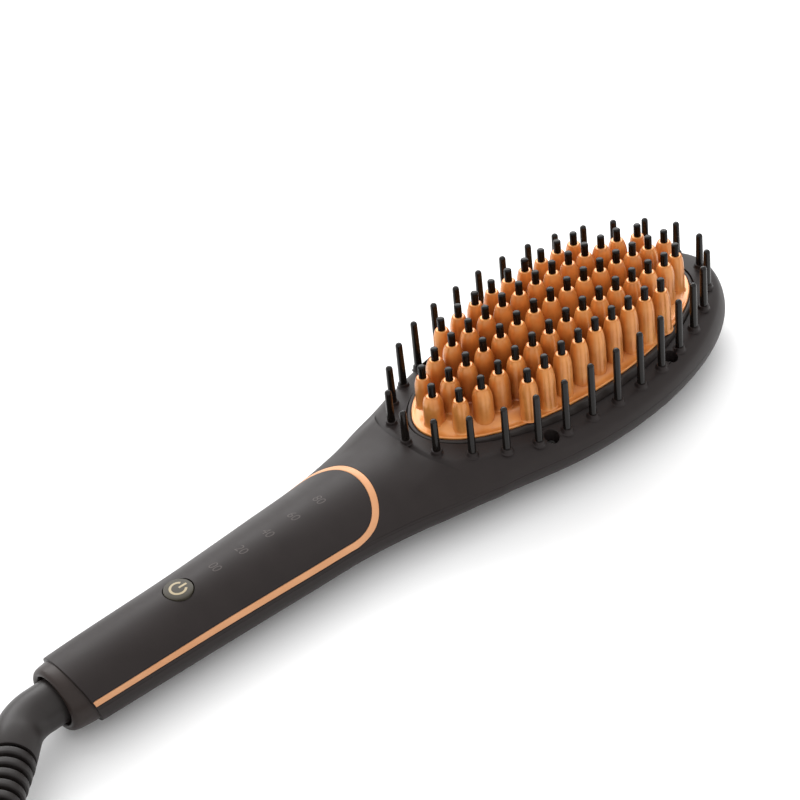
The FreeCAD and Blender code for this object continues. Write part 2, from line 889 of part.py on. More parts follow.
# Tooth plate: a thin rim that laps over its frame, a body that drops into it, a raised plateau whose
# edge is scalloped round the outer teeth and four bosses below for the heater clamp.
rim = oval_prism(
    "plate_flange",
    "plate_half_length",
    "plate_half_width",
    "plate_top - plate_rim",
    "plate_top",
)
core = oval_prism(
    "plate_core",
    "plate_half_length - plate_body_inset",
    "plate_half_width - plate_body_inset",
    "plate_bottom",
    "plate_top - plate_rim",
)
plate_top = size("plate_top")
plateau_top = plate_top + size("plateau_height")
edge_teeth = [(x, y) for x, y, edge in tooth_places() if edge]
slim = size("plate_half_length") / size("plate_half_width")
edge_teeth.sort(key=lambda place: math.atan2(place[1] * slim, place[0]))
loop = [Vector(x, y, plate_top) for x, y in edge_teeth]
plateau = Part.Face(Part.makePolygon(loop + loop[:1])).extrude(UP * size("plateau_height"))
scallop_r = size("scallop_radius")
scallops = [round_bar(scallop_r, Vector(x, y, plate_top - 1), plateau_top + 1) for x, y in edge_teeth]
plateau = plateau.cut(scallops)
clamp_places = [(i * size("clamp_screw_x"), j * size("clamp_screw_y")) for i in (1, -1) for j in (1, -1)]
clamp_top = size("plate_bottom") - size("heater_height") - size("mica_thickness")
clamp_low = clamp_top - size("clamp_thickness")
boss_r = size("clamp_boss_radius")
plate_bosses = [round_bar(boss_r, Vector(x, y, clamp_top), size("plate_bottom")) for x, y in clamp_places]
plate_blank = fused(
    "plate_blank",
    rim,
    core,
    feature("plateau", plateau),
    feature("plate_bosses", Part.makeCompound(plate_bosses)),
)
pilot_r = size("clamp_screw_radius") + size("screw_fit")
pilot_top = clamp_low + size("clamp_screw_length") + size("screw_fit")
pilots = [round_bar(pilot_r, Vector(x, y, clamp_low), pilot_top) for x, y in clamp_places]
node(cut("heating_plate", plate_blank, feature("plate_pilots", Part.makeCompound(pilots))), "heating_plate")

# Teeth: pointed arches turned about their own axis, each with a blind bore for its nylon tip. On the
# real plate they are cast in one piece with it.
teeth = []
tips = []
for x, y, edge in tooth_places():
    base = plate_top if edge else plateau_top
    foot_r = size("outer_tooth_radius") if edge else size("inner_tooth_radius")
    top_r = size("tooth_top_radius")
    tall = tip_z(x, y) - size("tip_length") - base
    waist_z = tall * size("tooth_straight_share")
    waist_r = foot_r * size("tooth_waist_share")
    bore_r = size("tip_radius") + size("tip_fit")
    bore_z = tall - size("tip_seat") - size("tip_fit")
    middle = rz(waist_r - (waist_r - top_r) / 6, (waist_z + tall) / 2)
    tooth = turned(
        [
            (rz(0, 0), rz(foot_r, 0)),
            (rz(foot_r, 0), rz(waist_r, waist_z)),
            (rz(waist_r, waist_z), middle, rz(top_r, tall)),
            (rz(top_r, tall), rz(bore_r, tall)),
            (rz(bore_r, tall), rz(bore_r, bore_z)),
            (rz(bore_r, bore_z), rz(0, bore_z)),
            (rz(0, bore_z), rz(0, 0)),
        ]
    )
    teeth.append(placed(tooth, x, y, base))
    tip_r = size("tip_radius")
    low_z = tall - size("tip_seat")
    high_z = tall + size("tip_length")
    round_mid = rz(tip_r * math.sqrt(0.5), high_z - tip_r * (1 - math.sqrt(0.5)))
    tip = turned(
        [
            (rz(0, low_z), rz(tip_r, low_z)),
            (rz(tip_r, low_z), rz(tip_r, high_z - tip_r)),
            (rz(tip_r, high_z - tip_r), round_mid, rz(0, high_z)),
            (rz(0, high_z), rz(0, low_z)),
        ]
    )
    tips.append(placed(tip, x, y, base))
node(feature("heating_teeth", Part.makeCompound(teeth)), "heating_teeth")
node(feature("bristle_tips", Part.makeCompound(tips)), "bristle_tips")

# Plate frame: an oval ring that keeps the hot plate away from the shell; two tabs hook under the shell.
frame_a = "plate_half_length + frame_lap"
frame_b = "plate_half_width + frame_lap"
frame_outer = oval_prism("frame_outer", frame_a, frame_b, "frame_bottom", "plate_top - plate_rim")
frame_inner = oval_prism(
    "frame_inner",
    f"{frame_a} - frame_wall",
    f"{frame_b} - frame_wall",
    "frame_bottom - 1",
    "plate_top",
)
tabs = block(
    "frame_tabs",
    f"2 * ({frame_a} + frame_tab_reach)",
    "frame_tab_width",
    "frame_tab_height",
    f"-({frame_a} + frame_tab_reach)",
    "-frame_tab_width / 2",
    "face_height - wall - running_fit - frame_tab_height",
)
node(cut("plate_frame", fused("frame_blank", frame_outer, tabs), frame_inner), "plate_frame")

# Guard pins: a ring of smooth round pins pressed into bosses on the face.
pins = []
for x, y in pin_places():
    boss_top = face_z(y) + size("boss_height")
    tip_top = size("pin_end_height") + size("pin_crown") * (1 - (x / size("pin_ring_half_length")) ** 2)
    tall = tip_top - boss_top
    base_r = size("pin_base_radius")
    top_r = size("pin_top_radius")
    foot = -size("boss_height") - size("pin_seat") + size("pin_fit")
    round_mid = rz(top_r * math.sqrt(0.5), tall - top_r * (1 - math.sqrt(0.5)))
    pin = turned(
        [
            (rz(0, foot), rz(base_r, foot)),
            (rz(base_r, foot), rz(base_r, 0)),
            (rz(base_r, 0), rz(top_r, tall - top_r)),
            (rz(top_r, tall - top_r), round_mid, rz(0, tall)),
            (rz(0, tall), rz(0, foot)),
        ]
    )
    pins.append(placed(pin, x, y, boss_top))
node(feature("guard_pins", Part.makeCompound(pins)), "guard_pins")

# Heater stack: two heating bars against the plate, a mica sheet and a sprung clamp under them.
heater_z = "plate_bottom - heater_height"
bars = [
    block(
        f"heater_{name}",
        "2 * heater_half_length",
        "heater_width",
        "heater_height",
        "-heater_half_length",
        f"{side} * (heater_gap + heater_width) / 2 - heater_width / 2",
        heater_z,
    )
    for name, side in (("left", 1), ("right", -1))
]
heaters = doc.addObject("Part::Compound", "ptc_heaters")
heaters.Links = bars
node(heaters, "ptc_heaters")
mica, mica_sketch = sketched("mica_sheet", ("0", "0", f"{heater_z} - mica_thickness"))
rectangle(
    mica_sketch,
    "2 * (heater_half_length + mica_overhang)",
    "2 * (heater_gap / 2 + heater_width + mica_overhang)",
)
padded(mica, mica_sketch, "mica_thickness")
node(mica, "mica_sheet")
clamp, clamp_sketch = sketched("heater_clamp", ("0", "0", f"{heater_z} - mica_thickness - clamp_thickness"))
rectangle(clamp_sketch, "2 * clamp_half_length", "2 * clamp_half_width")
for i in (1, -1):
    for j in (1, -1):
        ring_line(
            clamp_sketch,
            "clamp_screw_radius + screw_fit",
            f"{i} * clamp_screw_x",
            f"{j} * clamp_screw_y",
            (i * size("clamp_screw_x"), j * size("clamp_screw_y")),
        )
padded(clamp, clamp_sketch, "clamp_thickness")
node(clamp, "heater_clamp")
clamp_screws = []
for x, y in clamp_places:
    one = screw("clamp_screw")
    one.rotate(Vector(), Vector(1, 0, 0), 180)
    clamp_screws.append(placed(one, x, y, clamp_low))
node(feature("heater_screws", Part.makeCompound(clamp_screws)), "heater_screws")
for label, name in (("temperature_sensor", "sensor"), ("thermal_fuse", "fuse")):
    piece = rod(
        label,
        "sensor_radius",
        f"{name}_length",
        f"{name}_x - {name}_length / 2",
        z="plate_bottom - sensor_radius - tip_fit",
        turn=ALONG_X,
    )
    node(piece, label)

# Cord swivel: a collar on the end of the handle, an elbow that turns in it on a hollow journal, a ring
# that keeps the journal in the handle and two slip rings that carry the mains to a pair of springs.
collar_rings = []
collar_run = "(handle_end_x - collar_end_x)"
lip_steps = (
    ("collar_seat", "handle_end_x", "collar_width", "collar_rise"),
    ("collar_lip", "collar_end_x + collar_round", "collar_lip_width", "collar_lip_rise"),
    ("collar_turn", "collar_end_x + 0.3 * collar_round", "collar_lip_width - 0.3 * collar_round",
     "collar_lip_rise - 0.3 * collar_round"),
    ("collar_mouth", "collar_end_x", "collar_lip_width - 0.75 * collar_round",
     "collar_lip_rise - 0.75 * collar_round"),
)
for name, x, wide, tall in lip_steps:
    collar_rings.append(oval(name, wide, tall, x, "axis_height", ACROSS))
collar_blank = loft("collar_blank", collar_rings, True)
collar_bore = rod(
    "collar_bore",
    "mouth_radius",
    f"{collar_run} + 2 * wall",
    "collar_end_x - wall",
    z="axis_height",
    turn=ALONG_X,
)
node(cut("end_collar", collar_blank, collar_bore), "end_collar")

axis_z = size("axis_height")
elbow_start = size("handle_end_x") - size("running_fit")
turn_angle = math.radians(size("elbow_angle"))
away = Vector(-math.cos(turn_angle), -math.sin(turn_angle), 0)
bend_r = size("elbow_bend_radius")
tangent = bend_r * math.tan(turn_angle / 2)
corner = Vector(size("elbow_x"), 0, axis_z)
bend_in = corner + Vector(tangent, 0, 0)
bend_out = corner + away * tangent
bend_mid = bend_in + Vector(
    -bend_r * math.sin(turn_angle / 2), -bend_r * (1 - math.cos(turn_angle / 2)), 0
)
elbow_end = bend_out + away * size("elbow_tail")


def elbow_tube(radius, start_x, tail):
    """A round tube from start_x along the handle's axis and round the bend."""
    start = Vector(start_x, 0, axis_z)
    path = Part.Wire(
        [
            Part.LineSegment(start, bend_in).toShape(),
            Part.Arc(bend_in, bend_mid, bend_out).toShape(),
            Part.LineSegment(bend_out, bend_out + away * tail).toShape(),
        ]
    )
    ring = Part.Wire([Part.Circle(start, Vector(-1, 0, 0), radius).toShape()])
    return path.makePipeShell([ring], True, False)


journal = Part.makeCylinder(
    size("journal_radius"),
    size("journal_end_x") - elbow_start,
    Vector(elbow_start, 0, axis_z),
    Vector(1, 0, 0),
)
elbow = elbow_tube(size("elbow_radius"), elbow_start, size("elbow_tail")).fuse(journal)
elbow = elbow.cut(elbow_tube(size("wire_bore"), size("journal_end_x") + 1, size("elbow_tail") + 1))
node(feature("swivel_elbow", elbow), "swivel_elbow")

RETAINER_PLACE = ("handle_end_x + wall + running_fit", "0", "axis_height")
retainer, retainer_sketch = sketched("swivel_retainer", RETAINER_PLACE, "YZ_Plane")
ring_line(retainer_sketch, "retainer_radius")
ring_line(retainer_sketch, "journal_radius + tip_fit")
padded(retainer, retainer_sketch, "retainer_thickness")
node(retainer, "swivel_retainer")
slip_rings = []
springs = []
for k in (0, 1):
    x = f"ring_x + {k} * ring_pitch"
    band_ring = rod(f"ring_blank_{k}", "ring_radius", "ring_width", x, z="axis_height", turn=ALONG_X)
    ring_bore = rod(
        f"ring_bore_{k}",
        "journal_radius + tip_fit",
        "3 * ring_width",
        f"{x} - ring_width",
        z="axis_height",
        turn=ALONG_X,
    )
    slip_rings.append(cut(f"slip_ring_{k}", band_ring, ring_bore))
    springs.append(
        block(
            f"contact_spring_{k}",
            "ring_width",
            "contact_thickness",
            "contact_height",
            x,
            "-ring_radius - running_fit - contact_thickness",
            "axis_height - contact_height / 2",
        )
    )
rings = doc.addObject("Part::Compound", "contact_rings")
rings.Links = slip_rings
node(rings, "contact_rings")
contacts = doc.addObject("Part::Compound", "contact_springs")
contacts.Links = springs
node(contacts, "contact_springs")
node(
    block(
        "contact_carrier",
        "carrier_length",
        "carrier_thickness",
        "carrier_height",
        "ring_x - (carrier_length - ring_pitch - ring_width) / 2",
        "-ring_radius - running_fit - contact_thickness - carrier_thickness",
        "axis_height - carrier_height / 2",
    ),
    "contact_carrier",
)

# Strain relief: a ribbed rubber boot, made on the X axis and then turned to the elbow.
boot_rings = []
ribs = int(size("boot_ribs"))
rib_pitch = size("boot_length") / ribs
for k in range(ribs):
    start_x = k * rib_pitch
    share = k / (ribs - 1)
    rib_r = size("boot_start_radius") + (size("boot_end_radius") - size("boot_start_radius")) * share
    groove_x = start_x + rib_pitch - size("boot_groove_width")
    slope = size("boot_rib_edge")
    for x, radius in (
        (start_x + slope, rib_r),
        (groove_x - slope, rib_r),
        (groove_x + slope, rib_r - size("boot_groove")),
        (start_x + rib_pitch - slope, rib_r - size("boot_groove")),
    ):
        boot_rings.append(Part.Wire([Part.Circle(Vector(x, 0, 0), Vector(1, 0, 0), radius).toShape()]))
boot = Part.makeLoft(boot_rings, True, True)
boot.translate(Vector(-size("boot_rib_edge"), 0, 0))
bore_r = size("cord_diameter") / 2
boot_bore = Part.makeCylinder(bore_r, 2 * size("boot_length"), Vector(-1, 0, 0), Vector(1, 0, 0))
boot = boot.cut(boot_bore)
heading = math.degrees(math.atan2(away.y, away.x))
strain_relief = feature("strain_relief", boot)
strain_relief.Placement = Placement(elbow_end, Rotation(UP, heading))
node(strain_relief, "strain_relief")
boot_end = elbow_end + away * (size("boot_length") - 2 * size("boot_rib_edge"))


# Wires inside the handle and the head: straight runs joined by arcs.
def routed(points, radius, share=0.45):
    """A round tube along straight runs joined by arcs that touch them, and its length."""
    edges = []
    start = points[0]
    for before, here, after in zip(points, points[1:], points[2:]):
        inward = (here - before).normalize()
        outward = (after - here).normalize()
        bend = inward.getAngle(outward)
        reach = share * min((here - before).Length, (after - here).Length)
        entry = here - inward * reach
        leave = here + outward * reach
        sweep = reach / math.tan(bend / 2)
        lean = (outward - inward).normalize()
        centre = here + lean * (sweep / math.cos(bend / 2))
        edges.append(Part.LineSegment(start, entry).toShape())
        edges.append(Part.Arc(entry, centre - lean * sweep, leave).toShape())
        print("bend radius", round(sweep, 1), "turn", round(math.degrees(bend), 1))
        start = leave
    edges.append(Part.LineSegment(start, points[-1]).toShape())
    path = Part.Wire(edges)
    ring = Part.Wire([Part.Circle(points[0], points[1] - points[0], radius).toShape()])
    tube = path.makePipeShell([ring], True, False)
    print("tube volume share", round(tube.Volume / (math.pi * radius**2 * path.Length), 4))
    return tube, path.Length


wire_r = size("wire_radius")
wire_z = board_top + wire_r + size("tip_fit")
heater_mid = size("plate_bottom") - size("heater_height") / 2
wire_y = size("heater_gap") / 2 + 1.4 * wire_r
frame_inside = size("plate_half_length") + size("frame_lap") - size("frame_wall")
heater_wires = []
for side in (1, -1):
    wire_route = [
        Vector(size("board_x") + size("board_length") - 4 * wire_r, side * wire_y, wire_z),
        Vector(wire_r - frame_inside, side * wire_y, wire_z),
        Vector(-size("clamp_half_length") - wire_r / 2, side * wire_y, heater_mid),
        Vector(-size("heater_half_length"), side * wire_y, heater_mid),
    ]
    heater_wires.append(routed(wire_route, wire_r, 0.4)[0])
node(feature("heater_wires", Part.makeCompound(heater_wires)), "heater_wires")
mains_wires = []
carrier_end = size("ring_x") + (size("carrier_length") + size("ring_pitch") + size("ring_width")) / 2
for k in (0, 1):
    wire = Part.makeCylinder(
        wire_r,
        size("board_x") + 3 - carrier_end,
        Vector(carrier_end, -size("board_width") / 2 + wire_r, wire_z + k * 2.3 * wire_r),
        Vector(1, 0, 0),
    )
    mains_wires.append(wire)
node(feature("mains_wires", Part.makeCompound(mains_wires)), "mains_wires")

# Mains cord: it drops from the strain relief to the table and lies there wound in two layers, held by a
# hook and loop tie, with its plug lying beside it. The route's points are chosen by hand.
cord_r = size("cord_diameter") / 2
cord_z = cord_r + size("coil_lift")
coil_start = Vector(size("coil_start_x"), size("coil_start_y"), cord_z)
lead_route = [
    boot_end,
    Vector(-256.4, -45.4, 10.6),
    Vector(-264.6, -63.2, 6.4),
    Vector(-268.0, -82.0, cord_z),
    coil_start,
]
lead, lead_length = routed(lead_route, cord_r)
node(feature("cord_lead", lead), "cord_lead")

coil_step = size("cord_diameter") + size("coil_clearance")
coil_r = size("coil_outer_radius")
turns = size("coil_turns")
half_way = turns / 2
coil_mid = Vector(size("coil_start_x") + coil_r, size("coil_start_y") - size("cord_diameter"), 0)


def coil_point(turn):
    """A place on the winding: in along a spiral, up one layer at half way, and out along another."""
    radius = coil_r - coil_step * (half_way - abs(turn - half_way))
    climb = min(max((turn - half_way) * 2 + 0.5, 0.0), 1.0)
    height = cord_z + coil_step * climb**2 * (3 - 2 * climb)
    angle = math.pi + math.tau * turn
    return coil_mid + Vector(radius * math.cos(angle), radius * math.sin(angle), height)


def coil_heading(turn):
    """The direction of the winding at a place; it leaves both ends along a circle."""
    if turn <= 0:
        return Vector(0, -1, 0)
    if turn >= turns:
        angle = math.pi + math.tau * turns + math.pi / 2
        return Vector(math.cos(angle), math.sin(angle), 0)
    slight = 1e-3
    return (coil_point(turn + slight) - coil_point(turn - slight)).normalize()


def arc_between(start, direction, end):
    """The arc that leaves start along direction and reaches end."""
    chord = end - start
    bend = direction.getAngle(chord)
    side = (direction - chord * (direction.dot(chord) / chord.dot(chord))).normalize()
    sagitta = chord.Length / 2 * math.tan(bend / 2)
    return Part.Arc(start, start + chord * 0.5 + side * sagitta, end).toShape()


def biarc(start, start_way, end, end_way):
    """Two arcs that meet smoothly between two places with given directions."""
    chord = end - start
    both = start_way + end_way
    square = 2 * (start_way.dot(end_way) - 1)
    linear = -2 * chord.dot(both)
    constant = chord.dot(chord)
    if abs(square) < 1e-9:
        reach = -constant / linear
    else:
        root = math.sqrt(linear**2 - 4 * square * constant)
        reach = min(r for r in ((-linear - root) / (2 * square), (-linear + root) / (2 * square)) if r > 0)
    middle = (start + start_way * reach + end - end_way * reach) * 0.5
    first = arc_between(start, start_way, middle)
    second = arc_between(end, -end_way, middle)
    return [first, second]


stops = [k / 4 for k in range(int(turns * 4) + 1)]
coil_edges = [Part.LineSegment(coil_start, coil_point(0)).toShape()]
for here, there in zip(stops, stops[1:]):
    coil_edges += biarc(coil_point(here), coil_heading(here), coil_point(there), coil_heading(there))
coil_out = coil_point(turns) + coil_heading(turns) * size("cord_diameter")
coil_edges.append(Part.LineSegment(coil_point(turns), coil_out).toShape())
coil_path = Part.Wire(Part.__sortEdges__(coil_edges))
coil_ring = Part.Wire([Part.Circle(coil_start, Vector(0, 1, 0), cord_r).toShape()])
coil = coil_path.makePipeShell([coil_ring], True, False)
node(feature("cord_coil", coil), "cord_coil")

tail_route = [
    coil_out,
    Vector(-199.0, -154.8, 10.0),
    Vector(-184.0, -156.6, 8.4),
    Vector(-169.0, -159.4, 7.3),
    Vector(-156.0, -162.6, size("plug_height") / 2),
]
tail, tail_length = routed(tail_route, cord_r)
node(feature("cord_tail", tail), "cord_tail")
print("cord length", round(lead_length + coil_path.Length + tail_length))
print("coil volume share", round(coil.Volume / (math.pi * cord_r**2 * coil_path.Length), 4))
marks = coil_path.discretize(Number=1000)
apart = int(3 * size("cord_diameter") / coil_path.Length * len(marks))
least = min(a.distanceToPoint(b) for k, a in enumerate(marks) for b in marks[k + apart :])
print("coil least gap to itself", round(least - size("cord_diameter"), 2))

# Tie: a strap round the winding on the side away from the handle.
inner_edge = coil_r - coil_step * half_way - cord_r
tie_half = size("tie_width") / 2
tie_fit = size("tie_fit")
tie_in = math.sqrt(inner_edge**2 - tie_half**2) - tie_fit
tie_out = coil_r + cord_r + tie_fit
tie_low = size("coil_lift") - tie_fit
tie_high = cord_z + coil_step + cord_r + tie_fit
strap = size("tie_thickness")
tie_corner = Vector(tie_in, -tie_half, tie_low)
tie_hole = Part.makeBox(tie_out - tie_in, 2 * tie_half, tie_high - tie_low, tie_corner)
tie_block = Part.makeBox(
    tie_out - tie_in + 2 * strap,
    2 * tie_half,
    tie_high - tie_low + 2 * strap,
    Vector(tie_in - strap, -tie_half, tie_low - strap),
)
cord_tie = feature("cord_tie", tie_block.cut(tie_hole))
cord_tie.Placement = Placement(coil_mid, Rotation())
node(cord_tie, "cord_tie")

# Plug: a flat two pin plug with a tapered neck, on the line of the last stretch of cord.
plug_rings = []
neck = size("plug_neck_length")
half_w = size("plug_width") / 2
half_h = size("plug_height") / 2
for x, wide, tall in (
    (0.0, cord_r + 1.0, cord_r + 0.8),
    (neck * 0.6, cord_r + 2.6, cord_r + 1.6),
    (neck, half_w * 0.72, half_h * 0.9),
    (neck + size("plug_shoulder"), half_w, half_h),
    (neck + size("plug_length") - size("plug_face_taper"), half_w, half_h),
    (neck + size("plug_length"), half_w * 0.94, half_h * 0.94),
):
    section = Part.Ellipse(Vector(), wide, tall).toShape()
    section.Placement = Placement(Vector(x, 0, 0), ACROSS)
    plug_rings.append(Part.Wire([section]))
plug_body = feature("plug_body", Part.makeLoft(plug_rings, True, True))
plug_way = tail_route[-1] - tail_route[-2]
plug_turn = Rotation(UP, math.degrees(math.atan2(plug_way.y, plug_way.x)))
plug_body.Placement = Placement(tail_route[-1], plug_turn)
node(plug_body, "plug_body")
pin_r = size("plug_pin_radius")
pin_l = size("plug_pin_length")
plug_pin_bars = []
for side in (1, -1):
    bar = turned(
        [
            (rz(0, 0), rz(pin_r, 0)),
            (rz(pin_r, 0), rz(pin_r, pin_l - pin_r)),
            (
                rz(pin_r, pin_l - pin_r),
                rz(pin_r * math.sqrt(0.5), pin_l - pin_r * (1 - math.sqrt(0.5))),
                rz(0, pin_l),
            ),
            (rz(0, pin_l), rz(0, 0)),
        ]
    )
    bar.rotate(Vector(), Vector(0, 1, 0), 90)
    plug_pin_bars.append(placed(bar, neck + size("plug_length"), side * size("plug_pin_spacing") / 2, 0))
plug_pins = feature("plug_pins", Part.makeCompound(plug_pin_bars))
plug_pins.Placement = Placement(tail_route[-1], plug_turn)
node(plug_pins, "plug_pins")

# Every piece is worked out and looked at before any is written.
doc.recompute()
faults = [thing.Name for thing in doc.Objects if {"Invalid", "Error"} & set(thing.State)]
for label, thing in nodes.items():
    if thing.Shape.isNull() or not thing.Shape.isValid() or thing.Shape.Volume <= 0:
        faults.append(label)
if faults:
    raise RuntimeError("pieces that did not come out: " + ", ".join(faults))
os.makedirs("parts", exist_ok=True)
for label, thing in nodes.items():
    thing.Shape.exportStep(f"parts/{label}.step")
    box = thing.Shape.BoundBox
    print(label, len(thing.Shape.Solids), round(thing.Shape.Volume), [round(v, 1) for v in
          (box.XMin, box.XMax, box.YMin, box.YMax, box.ZMin, box.ZMax)])
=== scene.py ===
"""A heated styling brush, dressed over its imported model. Sizes are in millimetres until a mesh is made."""

import math

import bmesh
import bpy
import numpy as np
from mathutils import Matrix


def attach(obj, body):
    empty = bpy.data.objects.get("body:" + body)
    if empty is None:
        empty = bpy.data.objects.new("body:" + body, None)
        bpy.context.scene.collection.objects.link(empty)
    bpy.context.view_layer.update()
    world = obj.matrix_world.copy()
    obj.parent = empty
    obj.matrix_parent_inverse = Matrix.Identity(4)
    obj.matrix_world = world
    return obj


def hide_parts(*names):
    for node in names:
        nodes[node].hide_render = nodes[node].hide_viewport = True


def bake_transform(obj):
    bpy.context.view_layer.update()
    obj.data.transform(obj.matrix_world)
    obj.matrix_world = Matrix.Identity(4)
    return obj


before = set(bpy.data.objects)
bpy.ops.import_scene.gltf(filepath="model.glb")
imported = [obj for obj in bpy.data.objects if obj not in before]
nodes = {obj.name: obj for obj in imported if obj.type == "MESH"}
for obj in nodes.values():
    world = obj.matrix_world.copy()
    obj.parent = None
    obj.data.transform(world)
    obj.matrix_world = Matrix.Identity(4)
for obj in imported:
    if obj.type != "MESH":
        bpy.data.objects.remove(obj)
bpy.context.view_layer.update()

# Camera: a long lens above the handle's end, looking along the brush. Its angles and place were fitted to
# the rows of tips. It comes first because the coiled cord has to stay out of its view.
MM = 0.001
the_scene = bpy.context.scene
turn, tilt, lean = np.radians([-37.36, 38.51, -6.83])
off_right, off_up, distance = -47.3, -35.5, 721.5
highest_tip = np.array([0.0, 0.0, 46.5])


def stand(thing, right, up, back, place):
    """Puts a camera or a lamp at a place in metres, turned to its own right, up and back directions."""
    for axis in range(3):
        thing.matrix_world[axis] = (right[axis], up[axis], back[axis], place[axis])
    the_scene.collection.objects.link(thing)


back = np.array([math.sin(turn) * math.cos(tilt), -math.cos(turn) * math.cos(tilt), math.sin(tilt)])
level_right = np.array([math.cos(turn), math.sin(turn), 0.0])
level_up = np.cross(back, level_right)
right = level_right * math.cos(lean) + level_up * math.sin(lean)
up = np.cross(back, right)
place = off_right * right + off_up * up + distance * back + highest_tip
camera_data = bpy.data.cameras.new("camera")
camera_data.sensor_width = 36.0
camera_data.lens = 102.96
camera_data.clip_start = 0.01
camera_data.clip_end = 20.0
camera = bpy.data.objects.new("camera", camera_data)
stand(camera, right, up, back, place * MM)
the_scene.camera = camera

# Rear shell: the lower half of the moulded body, polycarbonate with a soft-touch coat, with a flat pad to
# lie on. It meets the front shell along a fine parting line at the widest line of the head, where four
# screws hold the two together. The handle's end is cut at a slant.
PARTING = 12.5
AXIS = 11.6
END_X = -195.0
HEAD_LONG = 71.0
HEAD_WIDE = 36.0
FACE_TOP = 22.8
CROWN_R = 116.0
SHARP = 38.0


def srgb(code):
    """A hex colour code as the linear colour that shaders take."""
    shares = np.array([int(code[k : k + 2], 16) for k in (1, 3, 5)]) / 255
    linear = np.where(shares <= 0.04045, shares / 12.92, ((shares + 0.055) / 1.055) ** 2.4)
    return (*linear.tolist(), 1.0)


def put(finish, kind, inputs=None, **settings):
    """Adds one node to a material; an input is a value or the output that feeds it."""
    item = finish.node_tree.nodes.new(kind)
    for key, value in settings.items():
        setattr(item, key, value)
    for key, value in (inputs or {}).items():
        if isinstance(value, bpy.types.NodeSocket):
            finish.node_tree.links.new(value, item.inputs[key])
        else:
            item.inputs[key].default_value = value
    return item


def material(name, light, dark, grain, bump, rough, patch=9.0, drawn=(1.0, 1.0, 1.0), spec=0.5, **sockets):
    """A moulded or metal finish: two close tones in soft patches, uneven gloss and a fine grain, in mm.

    The grain is drawn out along an axis by its share in drawn.
    """
    low, high = 0.3, 0.7
    finish = bpy.data.materials.new(name)
    finish.use_nodes = True
    shader = finish.node_tree.nodes["Principled BSDF"]
    shader.inputs["Specular IOR Level"].default_value = spec
    for key, value in sockets.items():
        shader.inputs[key.replace("_", " ")].default_value = value
    spot = put(finish, "ShaderNodeTexCoord").outputs["Object"]
    long_way = put(finish, "ShaderNodeMapping", {"Vector": spot, "Scale": [1 / share for share in drawn]})
    cloud = put(finish, "ShaderNodeTexNoise", {"Vector": spot, "Scale": 1 / (patch * MM), "Detail": 3.0})
    tone = put(finish, "ShaderNodeValToRGB", {"Fac": cloud.outputs["Fac"]})
    first, last = tone.color_ramp.elements
    first.position = low
    first.color = srgb(dark)
    last.position = high
    last.color = srgb(light)
    spread = {"Value": cloud.outputs["Fac"], "From Min": low, "From Max": high}
    gloss = put(finish, "ShaderNodeMapRange", {**spread, "To Min": rough[0], "To Max": rough[1]})
    grains = {"Vector": long_way.outputs["Vector"], "Scale": 1 / (grain * MM), "Detail": 2.0}
    fine = put(finish, "ShaderNodeTexNoise", grains)
    relief = {"Height": fine.outputs["Fac"], "Strength": 0.35, "Distance": bump * MM}
    bumped = put(finish, "ShaderNodeBump", relief)
    link = finish.node_tree.links.new
    link(tone.outputs["Color"], shader.inputs["Base Color"])
    link(gloss.outputs["Result"], shader.inputs["Roughness"])
    link(bumped.outputs["Normal"], shader.inputs["Normal"])
    return finish


def around(count):
    """Even angles once round."""
    return np.arange(count) * math.tau / count


def raised(height):
    """A step straight up."""
    return np.array([0.0, 0.0, height])


def smoothed(mesh, sharp):
    """Shades a mesh smooth but for edges sharper than an angle in degrees."""
    mesh.polygons.foreach_set("use_smooth", np.ones(len(mesh.polygons), bool))
    mesh.set_sharp_from_angle(angle=math.radians(sharp))


class Skin:
    """Gathers the surfaces of one piece, as grids of points, and makes a mesh object of them."""

    def __init__(self):
        self.points = []
        self.faces = []
        self.total = 0

    def sheet(self, grid, closed=False):
        """Quads between the rows of a grid of points, closed round along the columns if asked."""
        rows, columns = grid.shape[:2]
        i = np.arange(rows - 1)[:, None] * columns + self.total
        j = np.arange(columns if closed else columns - 1)[None, :]
        k = (j + 1) % columns
        self.faces += np.stack([i + j, i + k, i + columns + k, i + columns + j], -1).reshape(-1, 4).tolist()
        self.points.append(grid.reshape(-1, 3))
        self.total += rows * columns

    def cap(self, ring):
        """One face over a ring of points."""
        self.faces.append((np.arange(len(ring)) + self.total).tolist())
        self.points.append(ring)
        self.total += len(ring)

    def turned(self, profile, x, y, z, count):
        """A shape turned about a standing axis: rings of each radius and height, the top closed."""
        angle = around(count)
        radius, height = np.array(profile).T[:, :, None]
        ring = [radius * np.cos(angle) + x, radius * np.sin(angle) + y, height + z + 0 * angle]
        grid = np.stack(ring, -1)
        self.sheet(grid, closed=True)
        self.cap(grid[-1])

    def piece(self, name, finish, body, slot, *replaced, sharp=SHARP):
        """The finished object: doubles merged, faces outwards, shaded, on its body if it rides on one."""
        mesh = bpy.data.meshes.new(name)
        mesh.from_pydata((np.concatenate(self.points) * MM).tolist(), [], self.faces)
        work = bmesh.new()
        work.from_mesh(mesh)
        bmesh.ops.remove_doubles(work, verts=work.verts, dist=0.0005 * MM)
        bmesh.ops.dissolve_degenerate(work, edges=work.edges, dist=1e-8)
        bmesh.ops.recalc_face_normals(work, faces=work.faces)
        work.to_mesh(mesh)
        work.free()
        smoothed(mesh, sharp)
        mesh.materials.append(finish)
        made = bpy.data.objects.new(name, mesh)
        the_scene.collection.objects.link(made)
        if body:
            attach(made, body)
        if replaced:
            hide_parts(*replaced)
        return made


def eased(share):
    """The smooth step from 0 to 1."""
    share = np.clip(share, 0.0, 1.0)
    return share * share * (3 - 2 * share)


